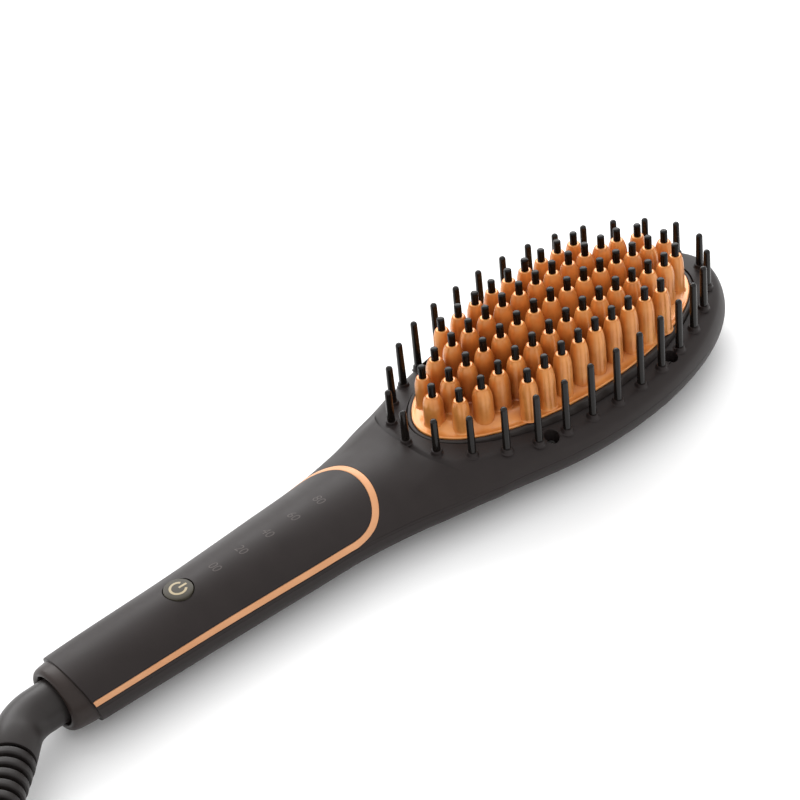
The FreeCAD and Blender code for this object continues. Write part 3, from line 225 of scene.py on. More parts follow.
def through(stations, values, x):
    """A smooth line through values at stations: cubic pieces with the slopes of the neighbouring chords."""
    stations, values = np.array(stations), np.array(values)
    slopes = np.gradient(values, stations)
    k = np.clip(np.searchsorted(stations, x) - 1, 0, len(stations) - 2)
    span = stations[k + 1] - stations[k]
    t = np.clip((x - stations[k]) / span, 0.0, 1.0)
    start = values[k] + span * t * (1 - t) ** 2 * slopes[k]
    end = -span * t**2 * (1 - t) * slopes[k + 1]
    return start + end + (values[k + 1] - values[k]) * eased(t)


STATIONS = [-195.0, -150.0, -117.0, -94.0, -78.0, -64.0, -36.0]


def half_width(x):
    """Half the handle's width at a station."""
    return through(STATIONS, [13.2, 15.1, 17.1, 18.7, 21.6, 25.2, 30.4], x)


def half_rise(x):
    """Half the handle's thickness at a station."""
    return through(STATIONS, [10.4, 11.3, 11.4, 11.4, 11.5, 11.6, 11.0], x)


def shoulder(x, angle):
    """The share of the oval left at an angle of the section, where the grip's shoulders are drawn in.

    It follows the squared sine of twice the angle above the middle and fades out at both ends of the grip.
    """
    grip_end, neck, most = -190.0, -60.0, 0.075
    drawn_in = most * eased((x - grip_end) / 50.0) * eased((neck - x) / 18.0)
    return 1 - drawn_in * np.sin(2 * angle) ** 2 * (np.sin(angle) > 0)


def end_slant(x, z):
    """How far the slanted end draws a place along the handle, fading out towards the middle of the grip."""
    furthest, slope, fade_from, fade_long = 2.0, 0.24, -150.0, 45.0
    return (furthest - slope * (z - AXIS)) * eased((fade_from - x) / fade_long)


def smooth_min(a, b, reach):
    """The lesser of two, with a soft crossing."""
    near = np.maximum(reach - np.abs(a - b), 0.0) / reach
    return np.minimum(a, b) - near * near * reach / 4


def face_height(y):
    """The crowned face: an arc of one radius across the head."""
    return FACE_TOP - CROWN_R + np.sqrt(CROWN_R**2 - y**2)


def head_gap(x, y, z):
    """How far a point lies outside the head: ovals that shrink off the parting line by quarter ellipses."""
    brow_high, brow_long, brow_wide, tucked, soft = 11.5, 8.0, 14.0, 18.7, 2.5
    above = np.clip((z - PARTING) / brow_high, 0.0, 1.0)
    below = np.clip((PARTING - z) / PARTING, 0.0, 1.0)
    brow = 1 - np.sqrt(1 - above**2)
    tuck = tucked * (1 - np.sqrt(1 - below**2))
    length = HEAD_LONG - brow_long * brow - tuck
    width = HEAD_WIDE - brow_wide * brow - tuck
    side = (np.hypot(x / length, y / width) - 1) * width
    return -smooth_min(-side, -np.maximum(z - face_height(y), -z), soft)


def body_gap(x, y, z):
    """How far a point lies outside the whole body: the head and the handle's ovals, softly joined."""
    handle_stop, fade, soft = -50.0, 0.15, 4.0
    across, upward = np.abs(y) / half_width(x), (z - AXIS) / half_rise(x)
    handle = (np.hypot(across, upward) / shoulder(x, np.arctan2(upward, across)) - 1) * half_rise(x)
    return smooth_min(handle + fade * np.maximum(x - handle_stop, 0.0), head_gap(x, y, z), soft)


def settle(gap, inside, outside):
    """Halves the span from a point inside to one outside, 36 times over, until it meets the surface."""
    for _ in range(36):
        middle = (inside + outside) / 2
        within = gap(middle) < 0
        inside = np.where(within, middle, inside)
        outside = np.where(within, outside, middle)
    return (inside + outside) / 2


def outline(x, z):
    """Half the body's width at a station and height, looked for out to 60 mm."""
    return settle(lambda y: body_gap(x, y, z), np.zeros_like(x), np.full_like(x, 60.0))


def inward(points, depth):
    """Points moved towards the middle of the body, for the turned-in edge of a shell."""
    neck, head_share = -90.0, 0.8
    middle = points * np.array([head_share, 0.0, 0.0]) + raised(PARTING)
    middle[..., 0] = np.where(points[..., 0] < neck, points[..., 0], middle[..., 0])
    way = middle - points
    return points + way * (depth / np.maximum(np.linalg.norm(way, axis=-1, keepdims=True), depth))


def on_handle(x, angle, lift=0.0):
    """Points on the handle by station and angle of its section, lifted off the surface."""
    left = shoulder(x, angle)
    wide, tall = left * half_width(x) + lift, left * half_rise(x) + lift
    return np.stack([x, wide * np.cos(angle), AXIS + tall * np.sin(angle)], -1)


def closer_at_ends(start, end, count):
    """Values from start to end by a half cosine, which sets them closer towards both."""
    return start + (end - start) * (0.5 - 0.5 * np.cos(np.linspace(0.0, math.pi, count)))


# A matte rubbery coat: very fine grain and a faint unevenness of gloss, which keeps the highlights broad.
soft_touch = material("soft_touch_coat", "#272120", "#231D1C", 0.22, 0.02, (0.42, 0.5), spec=0.2)
SEAM_LOW = PARTING - 0.06
EDGE_IN = 0.07
EDGE_RISE = raised(0.05)
REAR_TIP = 70.999
SPINE_X = -30.0
UNDERNEATH = -3.0
rear_x = closer_at_ends(REAR_TIP, END_X, 261)
spine_x = np.where(rear_x > SPINE_X, SPINE_X + 0.7 * (rear_x - SPINE_X), rear_x)
across = np.linspace(-1.0, 1.0, 97)
reach = np.sin(np.abs(across) * math.pi / 2)
grid_x = spine_x[:, None] + (rear_x - spine_x)[:, None] * reach
grid_z = np.full_like(grid_x, SEAM_LOW)
for drawn_out in (0.0, 1.0):
    grid_x = grid_x + drawn_out * end_slant(grid_x, grid_z)
    rim_x = grid_x[:, :1] if drawn_out else rear_x[:, None]
    grid_y = outline(rim_x, SEAM_LOW) * reach * np.sign(across)
    low = np.full_like(grid_x, UNDERNEATH)
    grid_z = settle(lambda z: body_gap(grid_x, grid_y, z), np.full_like(grid_x, SEAM_LOW), low)
grid_z = np.maximum(grid_z, 0.0)
grid_z[:, [0, -1]] = SEAM_LOW
rear = np.stack([grid_x, grid_y, grid_z], -1)
lips = []
for edge in (rear[:, :1], rear[:, -1:]):
    bevel = inward(edge, EDGE_IN) + EDGE_RISE
    tongue = inward(edge, 0.2) + raised(0.06)
    lips.append([bevel, tongue, tongue + raised(0.9)])
rear = np.concatenate([*lips[0][::-1], rear, *lips[1]], 1)
rear_skin = Skin()
rear_skin.sheet(rear)
END_PROFILE = ((-0.02, -0.5), (-0.04, 0.02), (-0.14, 0.14), (-0.36, 0.2), (-1.0, 0.2), (-3.4, 0.2))
round_angle = around(160)
end_x = END_X + end_slant(END_X, AXIS + half_rise(END_X) * np.sin(round_angle))
end_rows = []
for lift, past_end in END_PROFILE:
    end_rows.append(on_handle(end_x, round_angle, lift) - np.array([past_end, 0.0, 0.0]))
rear_skin.sheet(np.stack(end_rows), closed=True)
rear_skin.piece("rear_shell_coat", soft_touch, "brush", "soft_touch_black", "rear_shell")


def dress(finish, *names):
    """Gives pieces of the solid model a finish."""
    for name in names:
        for holder in nodes[name].material_slots:
            holder.material = finish


# Green lacquer over copper tracks: glossy, in faint clouds.
dress(material("solder_mask", "#1E6B3A", "#175A30", 0.8, 0.02, (0.25, 0.34), patch=2.5), "control_board")
# Dark moulded cases: dull and even.
moulded_grey = material("moulded_component", "#3E3E42", "#343438", 0.3, 0.02, (0.45, 0.55), patch=3.0)
dress(moulded_grey, "tact_switch", "switch_plunger", "power_triac", "film_capacitor", "contact_carrier")
# Milky cast resin: smooth, with a soft shine.
dress(material("lamp_case", "#ECE8D8", "#E2DDCB", 0.4, 0.01, (0.2, 0.3), patch=2.0), "status_leds")
# Moulded acrylic: clear and glossy.
clear_acrylic = material(
    "clear_acrylic", "#FBFBFB", "#F4F6F6", 0.6, 0.004, (0.05, 0.1), patch=2.0,
    Transmission_Weight=0.9, IOR=1.49,
)
dress(clear_acrylic, "light_guides")
# Plated steel: a cool metal with a slightly frosted gloss.
zinc_steel = material(
    "zinc_plated_steel", "#A9A8A6", "#93928F", 0.25, 0.015, (0.25, 0.4), patch=1.5, Metallic=1.0
)
dress(zinc_steel, "board_screws", "case_screws", "heater_screws")
dress(zinc_steel, "heater_clamp", "temperature_sensor", "swivel_retainer")
# Bare extruded aluminium: pale, with fine lines along the bars.
extruded = material(
    "extruded_aluminium", "#C4C4C3", "#B2B2B0", 0.2, 0.02, (0.3, 0.42), drawn=(20.0, 1.0, 1.0), Metallic=1.0
)
dress(extruded, "ptc_heaters")
# Pressed mica: tan flakes that shine unevenly.
dress(material("pressed_mica", "#B3A07C", "#9C8966", 0.9, 0.03, (0.3, 0.5), patch=1.6), "mica_sheet")
# Turned brass: yellow metal, bright and a little worn.
turned_brass = material(
    "turned_brass", "#C9A24E", "#B58E3F", 0.2, 0.01, (0.22, 0.34), patch=2.0, Metallic=1.0
)
dress(turned_brass, "thermal_fuse", "contact_rings", "contact_springs")
# Silicone insulation: soft red without shine.
silicone = material("red_silicone", "#A3221C", "#8E1B17", 0.3, 0.02, (0.45, 0.55), patch=3.0)
dress(silicone, "heater_wires", "mains_wires")

# Front shell: the upper half of the body, moulded and coated as the rear one is, with the crowned face, a
# boss under each guard pin and four sunk screw holes. Its face is cut a little into the neck, which leaves
# a crescent edge, and an oval opening holds the frame.
STRIP_LOW = 13.7
STRIP_WIDE = 1.8
SEAM_HIGH = PARTING + 0.06
FRONT_TIP = 70.998
FOOT_X = -100.0
CREST_X = -83.0
CREST_Z = 23.0
ARCH_BULGE = 1.95
MIRROR = np.array([1.0, -1.0, 1.0])


def arch_line(low, margin, angle):
    """Where the arch of the strip crosses the handle at each angle of its section, as stations along it.

    From the side it is a bowed line from foot to crest, and its place is found by repetition.
    """
    foot = np.array([FOOT_X - 0.3 * margin, low])
    crest = np.array([CREST_X - 1.4 * margin, CREST_Z])
    chord = crest - foot
    side = np.array([chord[1], -chord[0]]) / np.hypot(*chord)
    t = np.linspace(0.0, 1.06, 200)[:, None]
    line = foot + chord * t + side * ARCH_BULGE * 4 * t * (1 - t)
    x = np.full_like(angle, (FOOT_X + CREST_X) / 2)
    for _ in range(30):
        x = np.interp(AXIS + half_rise(x) * shoulder(x, angle) * np.sin(angle), line[:, 1], line[:, 0])
    return x


def low_angle(x, z):
    """The angle of the handle's section at a height, found by repetition."""
    angle = np.zeros_like(x)
    for _ in range(8):
        angle = np.arcsin((z - AXIS) / (half_rise(x) * shoulder(x, angle)))
    return angle


def walked(line):
    """The way covered along a line of points up to each of them."""
    return np.concatenate([[0.0], np.cumsum(np.linalg.norm(np.diff(line, axis=0), axis=1))])


def spaced(line, steps):
    """Points at given ways along a line."""
    return np.stack([np.interp(steps, walked(line), part) for part in line.T], -1)


def all_round(half):
    """A half ring of points and its mirror image, as one closed ring."""
    return np.concatenate([half, half[:, -2:0:-1] * MIRROR], 1)


def standing(plan):
    """Plan points raised to the body's surface, which is looked for up to 30 mm."""
    x, y = plan[..., 0], plan[..., 1]
    z = settle(lambda z: body_gap(x, y, z), np.full_like(x, PARTING), np.full_like(x, 30.0))
    return np.stack([x, y, z], -1)


foot_angle = float(low_angle(np.array(FOOT_X), STRIP_LOW))
arch_angle = np.linspace(foot_angle, math.pi / 2, 200)
arch = on_handle(arch_line(STRIP_LOW, 0.0, arch_angle), arch_angle)
front_x = closer_at_ends(FRONT_TIP, FOOT_X, 1500)
parting_line = np.stack([front_x, outline(front_x, SEAM_HIGH), np.full_like(front_x, SEAM_HIGH)], -1)
edge = np.concatenate([parting_line, arch])
walk = walked(edge)
steps = np.linspace(0.0, walk[-1], 361)
edge = spaced(edge, steps)
edge[[0, -1], 1] = 0.0
# Round the head the lines of the mesh run out by bearing, and past the turn by their share of the edge.
TURN_X = -35.0
turn_bearing = math.acos(TURN_X / HEAD_LONG)
turn_step = np.interp(-TURN_X, -front_x, walk[: len(front_x)])
past = np.clip((steps - turn_step) / (walk[-1] - turn_step), 0.0, 1.0)
bearing = np.arccos(np.clip(edge[:, 0] / HEAD_LONG, -1.0, 1.0))
bearing = np.where(past > 0, turn_bearing + (math.pi - turn_bearing) * past, bearing)
swing = np.sin(math.pi * np.clip(past / 0.72, 0.0, 1.0))
bend = np.stack([0.5 + 0.35 * swing, 0.5 - 0.2 * swing], -1)
fuller = 1 - eased((bearing - math.pi / 2) / 0.7) / 3
OPENING_LONG, OPENING_WIDE = 59.3, 27.6
FACE_LONG, FACE_WIDE, FACE_CUT = 66.2, 32.0, 0.6
inner_rim = np.stack([OPENING_LONG * np.cos(bearing), OPENING_WIDE * np.sin(bearing)], -1)
square_x = np.sign(np.cos(bearing)) * np.abs(np.cos(bearing)) ** fuller
face_x = (FACE_LONG - FACE_CUT * (square_x < 0)) * square_x
face_rim = np.stack([face_x, FACE_WIDE * np.abs(np.sin(bearing)) ** fuller], -1)
pull = face_rim + (edge[:, :2] - face_rim) * bend
t = (1 - (1 - np.linspace(0.0, 1.0, 46)) ** 2)[:, None, None]
outer = standing((1 - t) ** 2 * face_rim + 2 * t * (1 - t) * pull + t**2 * edge[:, :2])
CRESCENT_HIGH, CRESCENT_LONG = 0.55, 16.0
CRESCENT_HALF, CRESCENT_FADE = 21.0, 8.0
DIP_DEEP, DIP_LONG = 0.8, 3.0
rim_share = eased((CRESCENT_HALF - np.abs(face_rim[:, 1])) / CRESCENT_FADE) * (face_rim[:, 0] < 0)
rim_lift = (face_height(face_rim[:, 1]) + CRESCENT_HIGH - outer[0, :, 2]) * rim_share
from_rim = np.hypot(outer[..., 0] - face_rim[:, 0], outer[..., 1] - face_rim[:, 1])
outer[..., 2] += rim_lift * eased(1 - from_rim / CRESCENT_LONG)
outer[-1] = edge
bevel = inward(edge, EDGE_IN) - EDGE_RISE
step_wall = outer[:1] - raised(1.8)
outer = np.concatenate([step_wall, outer, bevel[None], inward(bevel, 0.6)[None]])
t = np.linspace(0.0, 1.0, 16)[:, None, None]
inner = standing(inner_rim + (face_rim - inner_rim) * t)
inner[..., 2] = smooth_min(inner[..., 2], face_height(inner[..., 1]), 0.3)
from_rim = np.hypot(inner[..., 0] - face_rim[:, 0], inner[..., 1] - face_rim[:, 1])
inner[..., 2] -= DIP_DEEP * rim_share * eased(1 - from_rim / DIP_LONG)
rim_round = inner[:1] * np.array([0.998, 0.996, 1.0]) - raised(0.25)
rim_wall = rim_round - raised(3.0)
inner = np.concatenate([rim_wall, rim_round, inner])
front_skin = Skin()
front_skin.sheet(all_round(outer), closed=True)
front_skin.sheet(all_round(inner), closed=True)
band_x = np.linspace(END_X, FOOT_X, 120)
for side in (1, -1):
    rows = []
    for z in (SEAM_HIGH, 12.8, 13.1, 13.4, STRIP_LOW - 0.08):
        row_x = band_x + end_slant(band_x, z)
        rows.append(on_handle(row_x, low_angle(row_x, z)))
    turned_in = inward(rows[0], EDGE_IN) - EDGE_RISE
    rows = [inward(turned_in, 0.6), turned_in, *rows, inward(rows[-1], 1.5)]
    front_skin.sheet(np.stack(rows) * np.array([1, side, 1]))
PIN_COUNT = 29
PIN_LONG, PIN_WIDE = 64.0, 31.2
ring_turn = np.linspace(0.0, math.tau, 3601)
ring = np.stack([-PIN_LONG * np.cos(ring_turn), PIN_WIDE * np.sin(ring_turn)], -1)
pins = spaced(ring, walked(ring)[-1] * np.arange(PIN_COUNT) / PIN_COUNT)
# On the handle's half the ring of pins is a little wider.
pins[:, 1] *= 1 + 0.06 * eased((-12.0 - pins[:, 0]) / 26.0)
BOSS_HIGH = 1.4
BOSS = ((2.2, -0.08), (1.92, 0.08), (1.8, 0.3), (1.75, 0.9), (1.72, 1.2), (1.6, 1.36), (1.2, BOSS_HIGH))
boss_angle = around(24)
for x, y in pins:
    middle = float(face_height(y))
    rings = []
    for radius, rise in BOSS:
        plan = np.stack([x + radius * np.cos(boss_angle), y + radius * np.sin(boss_angle)], -1)
        slope = (face_height(plan[:, 1]) - middle) * (1 - max(rise, 0.0) / BOSS_HIGH)
        rings.append(np.concatenate([plan, (middle + rise + slope)[:, None]], -1))
    front_skin.sheet(np.stack(rings), closed=True)


def pierce(piece, x, y, radius, floor, above):
    """Opens a round hole: faces inside go, the rim is drawn to the circle, a wall drops to its floor."""
    work = bmesh.new()
    work.from_mesh(piece.data)
    centre = np.array([x, y]) * MM
    radius = radius * MM

    def off(point):
        return math.hypot(point.x - centre[0], point.y - centre[1])

    def near(point, share):
        return off(point) < share * radius and point.z > above * MM

    gone = [face for face in work.faces if near(face.calc_center_median(), 1.0)]
    bmesh.ops.delete(work, geom=gone, context="FACES")
    open_edges = [line for line in work.edges if line.is_boundary]
    rim = [line for line in open_edges if all(near(v.co, 1.5) for v in line.verts)]
    for vert in {v for line in rim for v in line.verts}:
        far = off(vert.co)
        vert.co.x = centre[0] + (vert.co.x - centre[0]) * radius / far
        vert.co.y = centre[1] + (vert.co.y - centre[1]) * radius / far
    wall = bmesh.ops.extrude_edge_only(work, edges=rim)["geom"]
    for item in wall:
        if isinstance(item, bmesh.types.BMVert):
            item.co.z = floor * MM
        elif isinstance(item, bmesh.types.BMFace):
            middle = item.calc_center_median()
            item.normal_update()
            if item.normal.x * (middle.x - centre[0]) + item.normal.y * (middle.y - centre[1]) > 0:
                item.normal_flip()
    work.to_mesh(piece.data)
    work.free()
    smoothed(piece.data, SHARP)


front_shell = front_skin.piece("front_shell_coat", soft_touch, "brush", "soft_touch_black", "front_shell")
HOLE_Y = 28.1
for x in (-29.0, 24.3):
    for y in (HOLE_Y, -HOLE_Y):
        pierce(front_shell, x, y, radius=2.5, floor=10.0, above=16.0)

# Trim strip: a copper coloured metallised moulding that runs up each side of the handle and over it in an
# arch. It is snapped into the groove between the shell and the panel and lies almost flush with both.
STRIP_PROFILE = (
    (0.03, -0.9), (0.03, -0.08), (0.09, 0.02), (0.2, 0.06), (0.5, 0.08),
    (0.8, 0.04), (0.91, -0.02), (0.97, -0.12), (0.97, -0.9),
)
# Metallised lacquer: warm pink copper with a blurred shine.
copper_foil = material(
    "metallised_copper", "#CE966B", "#C78D61", 0.3, 0.004, (0.38, 0.46), Metallic=0.1, spec=0.42
)
STRIP_HIGH = STRIP_LOW + STRIP_WIDE
run_x = np.linspace(END_X, FOOT_X, 150)[:-1]
climb = np.linspace(0.0, 1.0, 120)
out_angle = foot_angle + (math.pi / 2 - foot_angle) * climb
in_foot = float(low_angle(np.array(FOOT_X - 0.5), STRIP_HIGH))
in_angle = in_foot + (math.pi / 2 - in_foot) * climb
out_x = np.concatenate([run_x, arch_line(STRIP_LOW, 0.0, out_angle)])
in_x = np.concatenate([run_x, arch_line(STRIP_HIGH, STRIP_WIDE, in_angle)])
out_angle = np.concatenate([low_angle(run_x, STRIP_LOW), out_angle])
in_angle = np.concatenate([low_angle(run_x, STRIP_HIGH), in_angle])
strip_rows = []
for share, lift in STRIP_PROFILE:
    row_x = out_x + (in_x - out_x) * share
    row_angle = out_angle + (in_angle - out_angle) * share
    row_x = row_x + end_slant(row_x, AXIS + half_rise(row_x) * np.sin(row_angle))
    half = on_handle(row_x, row_angle, lift)
    strip_rows.append(np.concatenate([half, half[-2::-1] * MIRROR]))
strip_skin = Skin()
strip_grid = np.stack(strip_rows)
strip_skin.sheet(strip_grid)
strip_skin.cap(strip_grid[:, 0])
strip_skin.cap(strip_grid[:, -1])
strip_skin.piece("trim_strip_foil", copper_foil, "brush", "copper_trim", "trim_strip")

# Handle panel: the soft-touch cover inside the strip, one moulding with a round hole for the button,
# clipped to the shell. It carries a row of numbers that light up from below; unlit they show only as a
# faint grey.
PANEL_GAP = 0.1
PANEL_LOW = STRIP_HIGH + PANEL_GAP
BUTTON_X = -153.0
# The shell's matte coat again, sprayed on a moulding of its own.
panel_coat = material("soft_touch_panel", "#272120", "#231D1C", 0.22, 0.02, (0.42, 0.5), spec=0.2)
share = np.linspace(0.0, 1.0, 96)[:, None]
along = np.linspace(0.0, 1.0, 230)[None, :]
edge_low = float(low_angle(np.array(FOOT_X), PANEL_LOW))
edge_angle = edge_low + (math.pi - 2 * edge_low) * share
edge_x = arch_line(PANEL_LOW, STRIP_WIDE + PANEL_GAP, np.minimum(edge_angle, math.pi - edge_angle))
panel_x = END_X + (edge_x - END_X) * along
panel_low = low_angle(panel_x, PANEL_LOW)
panel_angle = panel_low + (math.pi - 2 * panel_low) * share
panel_x = panel_x + end_slant(panel_x, AXIS + half_rise(panel_x) * np.sin(panel_angle))
panel_skin = Skin()
panel_skin.sheet(on_handle(panel_x, panel_angle))
panel_rims = []
for lift in (0.0, -0.1, -1.3):
    sunk = on_handle(panel_x, panel_angle, lift)
    panel_rims.append(np.concatenate([sunk[0, :], sunk[:, -1], sunk[-1, ::-1], sunk[::-1, 0]]))
panel_skin.sheet(np.stack(panel_rims))
handle_panel = panel_skin.piece("handle_panel_coat", panel_coat, "brush", "panel_black", "handle_panel")
pierce(handle_panel, BUTTON_X, 0.0, radius=4.8, floor=20.6, above=15.0)

# Thin printing ink: a flat grey that hardly stands out from the coat.
print_grey = material("screen_print_grey", "#4A4341", "#443D3B", 0.15, 0.002, (0.45, 0.55), spec=0.3)
INK = 0.03
NUMBER_X, NUMBER_STEP, NUMBER_Y = -140.0, 10.0, -0.6
NARROWED = 0.84


def points_of(mesh):
    """The points of a mesh, as rows."""
    flat = np.empty(3 * len(mesh.vertices), np.float32)
    mesh.vertices.foreach_get("co", flat)
    return flat.reshape(-1, 3).astype(float)


gathered = bmesh.new()
for step, words in enumerate(("00", "20", "40", "60", "80")):
    letters = bpy.data.curves.new("number", "FONT")
    letters.body = words
    letters.size = 4.4
    letters.shear = 0.15
    letters.offset = -0.03
    letters.align_x = letters.align_y = "CENTER"
    holder = bpy.data.objects.new("number", letters)
    flat = bpy.data.meshes.new_from_object(holder)
    bpy.data.objects.remove(holder)
    work = bmesh.new()
    work.from_mesh(flat)
    bmesh.ops.triangulate(work, faces=work.faces)
    bmesh.ops.subdivide_edges(work, edges=work.edges, cuts=2, use_grid_fill=True)
    work.to_mesh(flat)
    work.free()
    x, y, _ = points_of(flat).T
    plan = np.stack([NUMBER_X + NUMBER_STEP * step + y, -NARROWED * x + NUMBER_Y], -1)
    flat.vertices.foreach_set("co", ((standing(plan) + raised(INK)) * MM).ravel())
    gathered.from_mesh(flat)
printed = bpy.data.meshes.new("printed_numbers")
gathered.to_mesh(printed)
gathered.free()
printed.materials.append(print_grey)
numbers = bpy.data.objects.new("printed_numbers", printed)
the_scene.collection.objects.link(numbers)
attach(numbers, "brush")

# Power button: a flush round cap of the same coat, domed a little, with a pale printed power symbol.
# It slides straight down on its switch.
CAP_TOP = 22.8


def domed(radius):
    """The cap's crown: a shallow parabola over its flat middle height."""
    return 0.25 * (1 - (radius / 4.4) ** 2)


button_profile = [(4.5, -3.2), (4.5, -0.28), (4.44, -0.1), (4.3, -0.02)]
button_profile += [(radius, domed(radius)) for radius in (3.6, 2.7, 1.8, 0.9)]
button_skin = Skin()
button_skin.turned(button_profile, BUTTON_X, 0.0, CAP_TOP, 72)
# The matte coat over an olive tint: a shade lighter than the panel round it.
button_coat = material("button_coat", "#3F3B31", "#39352C", 0.22, 0.02, (0.4, 0.48), spec=0.22)
button_skin.piece("power_button_cap", button_coat, "button", "panel_black", "power_button")
# Pale gold ink: flat, without sparkle.
print_gold = material("screen_print_gold", "#A99A79", "#9F9070", 0.15, 0.002, (0.4, 0.5), spec=0.4)
symbol_skin = Skin()
OPEN = math.radians(36)
sweep = np.linspace(OPEN, math.tau - OPEN, 60)
bar = np.linspace(0.3, 3.1, 12)
ring_stroke = np.stack([np.stack([r * np.cos(sweep), r * np.sin(sweep)], -1) for r in (2.75, 2.38, 2.0)])
bar_stroke = np.stack([np.stack([bar, np.full(12, y)], -1) for y in (-0.36, 0.0, 0.36)])
for strokes in (ring_stroke, bar_stroke):
    height = CAP_TOP + INK + domed(np.hypot(strokes[..., 0], strokes[..., 1]))
    symbol_skin.sheet(np.concatenate([strokes + np.array([BUTTON_X, 0.0]), height[..., None]], -1))
symbol_skin.piece("power_symbol", print_gold, "button", "panel_black")

# Plate frame: a moulded ring of heat resistant plastic round the hot plate. It sits in the opening of the
# front shell, and its rounded wall shows at the sides of the head.
FRAME_LONG, FRAME_WIDE = 58.9, 27.2
FRAME_PROFILE = (
    (0.0, 12.4), (0.0, 21.9), (0.06, 22.2), (0.2, 22.42), (0.45, 22.56),
    (0.9, 22.6), (1.25, 22.5), (1.5, 22.2), (3.0, 22.2), (3.0, 12.4), (0.0, 12.4),
)


def oval_rows(long, wide, profile, turn):
    """Level oval rings, each drawn in from its half sizes by an inset and set at a height."""
    rows = []
    for inset, z in profile:
        oval = [(long - inset) * np.cos(turn), (wide - inset) * np.sin(turn), np.full(len(turn), z)]
        rows.append(np.stack(oval, -1))
    return np.stack(rows)


# Glass filled nylon: a dull warm grey, a little lighter than the coat.
frame_plastic = material("heat_resistant_frame", "#332D2B", "#2D2826", 0.25, 0.02, (0.4, 0.5), spec=0.25)
frame_skin = Skin()
frame_skin.sheet(oval_rows(FRAME_LONG, FRAME_WIDE, FRAME_PROFILE, around(360)), closed=True)
frame_skin.piece("plate_frame_moulding", frame_plastic, "brush", "frame_grey", "plate_frame")

# Heating plate: cast aluminium with a copper coloured ceramic coat. From a narrow lip it rises in a ramp to
# a raised middle, and the outer teeth stand in the ramp. It lies in the frame and is clamped from below.
PLATE_LONG, PLATE_WIDE = 57.4, 25.8
PLATE_LIP = ((0.4, 23.1), (0.15, 23.02), (0.03, 22.85), (0.0, 22.65), (0.05, 22.4), (0.6, 22.32))
PLATE_TOP = 23.1
PLATEAU = 25.0
LIP, RAMP = 0.9, 6.2


def off_rim(x, y):
    """How far a plan point lies inside the plate's oval, by the slope of the oval's own measure."""
    share = np.hypot(x / PLATE_LONG, y / PLATE_WIDE)
    return (1 - share) * share / np.hypot(x / PLATE_LONG**2, y / PLATE_WIDE**2)


spread = np.concatenate([np.linspace(0.02, 0.5, 14)[:-1], np.linspace(0.5, 0.985, 76)])[:, None]
plate_turn = around(540)
plate_x = PLATE_LONG * spread * np.cos(plate_turn)
plate_y = PLATE_WIDE * spread * np.sin(plate_turn)
plate_z = PLATE_TOP + (PLATEAU - PLATE_TOP) * eased((off_rim(plate_x, plate_y) - LIP) / RAMP)
plate_lip = oval_rows(PLATE_LONG, PLATE_WIDE, PLATE_LIP, plate_turn)
plate_grid = np.concatenate([np.stack([plate_x, plate_y, plate_z], -1), plate_lip])
# Satin copper paint over the casting: warm patches of tone and fine marks drawn upwards along the teeth.
copper_cast = material(
    "copper_ceramic_coat", "#E0964B", "#C97A35", 0.3, 0.02, (0.3, 0.44), patch=6.0, drawn=(1.0, 1.0, 9.0),
    Metallic=0.35, spec=0.5, Coat_Weight=0.6, Coat_Roughness=0.12,
)
# Painted shade: deep between the inner teeth the coat is darkened to a brown, standing in for the shade
# and the light passed from tooth to tooth; it is laid on by height and by nearness to the middle.
spot = put(copper_cast, "ShaderNodeTexCoord").outputs["Object"]
rise = put(copper_cast, "ShaderNodeSeparateXYZ", {"Vector": spot}).outputs["Z"]
depth_span = {"Value": rise, "From Min": 38 * MM, "From Max": 25 * MM}
deep = put(copper_cast, "ShaderNodeMapRange", depth_span).outputs["Result"]
to_oval = {"Vector": spot, "Scale": (1 / (PLATE_LONG * MM), 1 / (PLATE_WIDE * MM), 0.0)}
flat_spot = put(copper_cast, "ShaderNodeMapping", to_oval).outputs["Vector"]
from_middle = put(copper_cast, "ShaderNodeVectorMath", {0: flat_spot}, operation="LENGTH").outputs["Value"]
inner_span = {"Value": from_middle, "From Min": 0.92, "From Max": 0.66}
within = put(copper_cast, "ShaderNodeMapRange", inner_span).outputs["Result"]
both = put(copper_cast, "ShaderNodeMath", {0: deep, 1: within}, operation="MULTIPLY").outputs["Value"]
copper_shader = copper_cast.node_tree.nodes["Principled BSDF"]
plain_tone = copper_shader.inputs["Base Color"].links[0].from_socket
# Painted shade: the copper tone is multiplied by a brown where the depth and middle masks meet.
painted_shade_mix = {0: both, 6: plain_tone, 7: srgb("#B08A6A")}
painted_valley_shade = put(copper_cast, "ShaderNodeMix", painted_shade_mix, data_type="RGBA", blend_type="MULTIPLY").outputs[2]
copper_cast.node_tree.links.new(painted_valley_shade, copper_shader.inputs["Base Color"])
plate_skin = Skin()
plate_skin.sheet(plate_grid, closed=True)
plate_skin.cap(plate_grid[0])
plate_skin.piece("heating_plate_coat", copper_cast, "brush", "copper_plate", "heating_plate", sharp=60.0)

# Heating teeth: blunt thimbles cast in one with the plate, in five rows, each with rounded shoulders and a
# flat rim. Black nylon tips are pressed into their tops and keep the hot metal off the skin.
PITCH = 7.4
OUTER_ROW, INNER_ROW, BENT_ROW = 19.6, 10.604, 8.506
FULL_FOOT, OUTER_FOOT, BENT_FOOT = 3.5, 3.2, 2.95
ROW_REACH = PLATE_LONG - 4.0
TOOTH_TOP = 2.0
TIP_R, TIP_LONG, TIP_ROUND = 1.24, 4.4, 0.55
RIM_ROUND = ((0.03, 0.26), (0.12, 0.12), (0.26, 0.03), (0.42, 0.0))


def tip_height(x, y):
    """The crowned field of tips: a parabola along the head, leaning up to its far end, and one across."""
    along = x / ROW_REACH
    return 46.3 + 1.45 * along - 7.0 * along**2 - 1.9 * (y / OUTER_ROW) ** 2


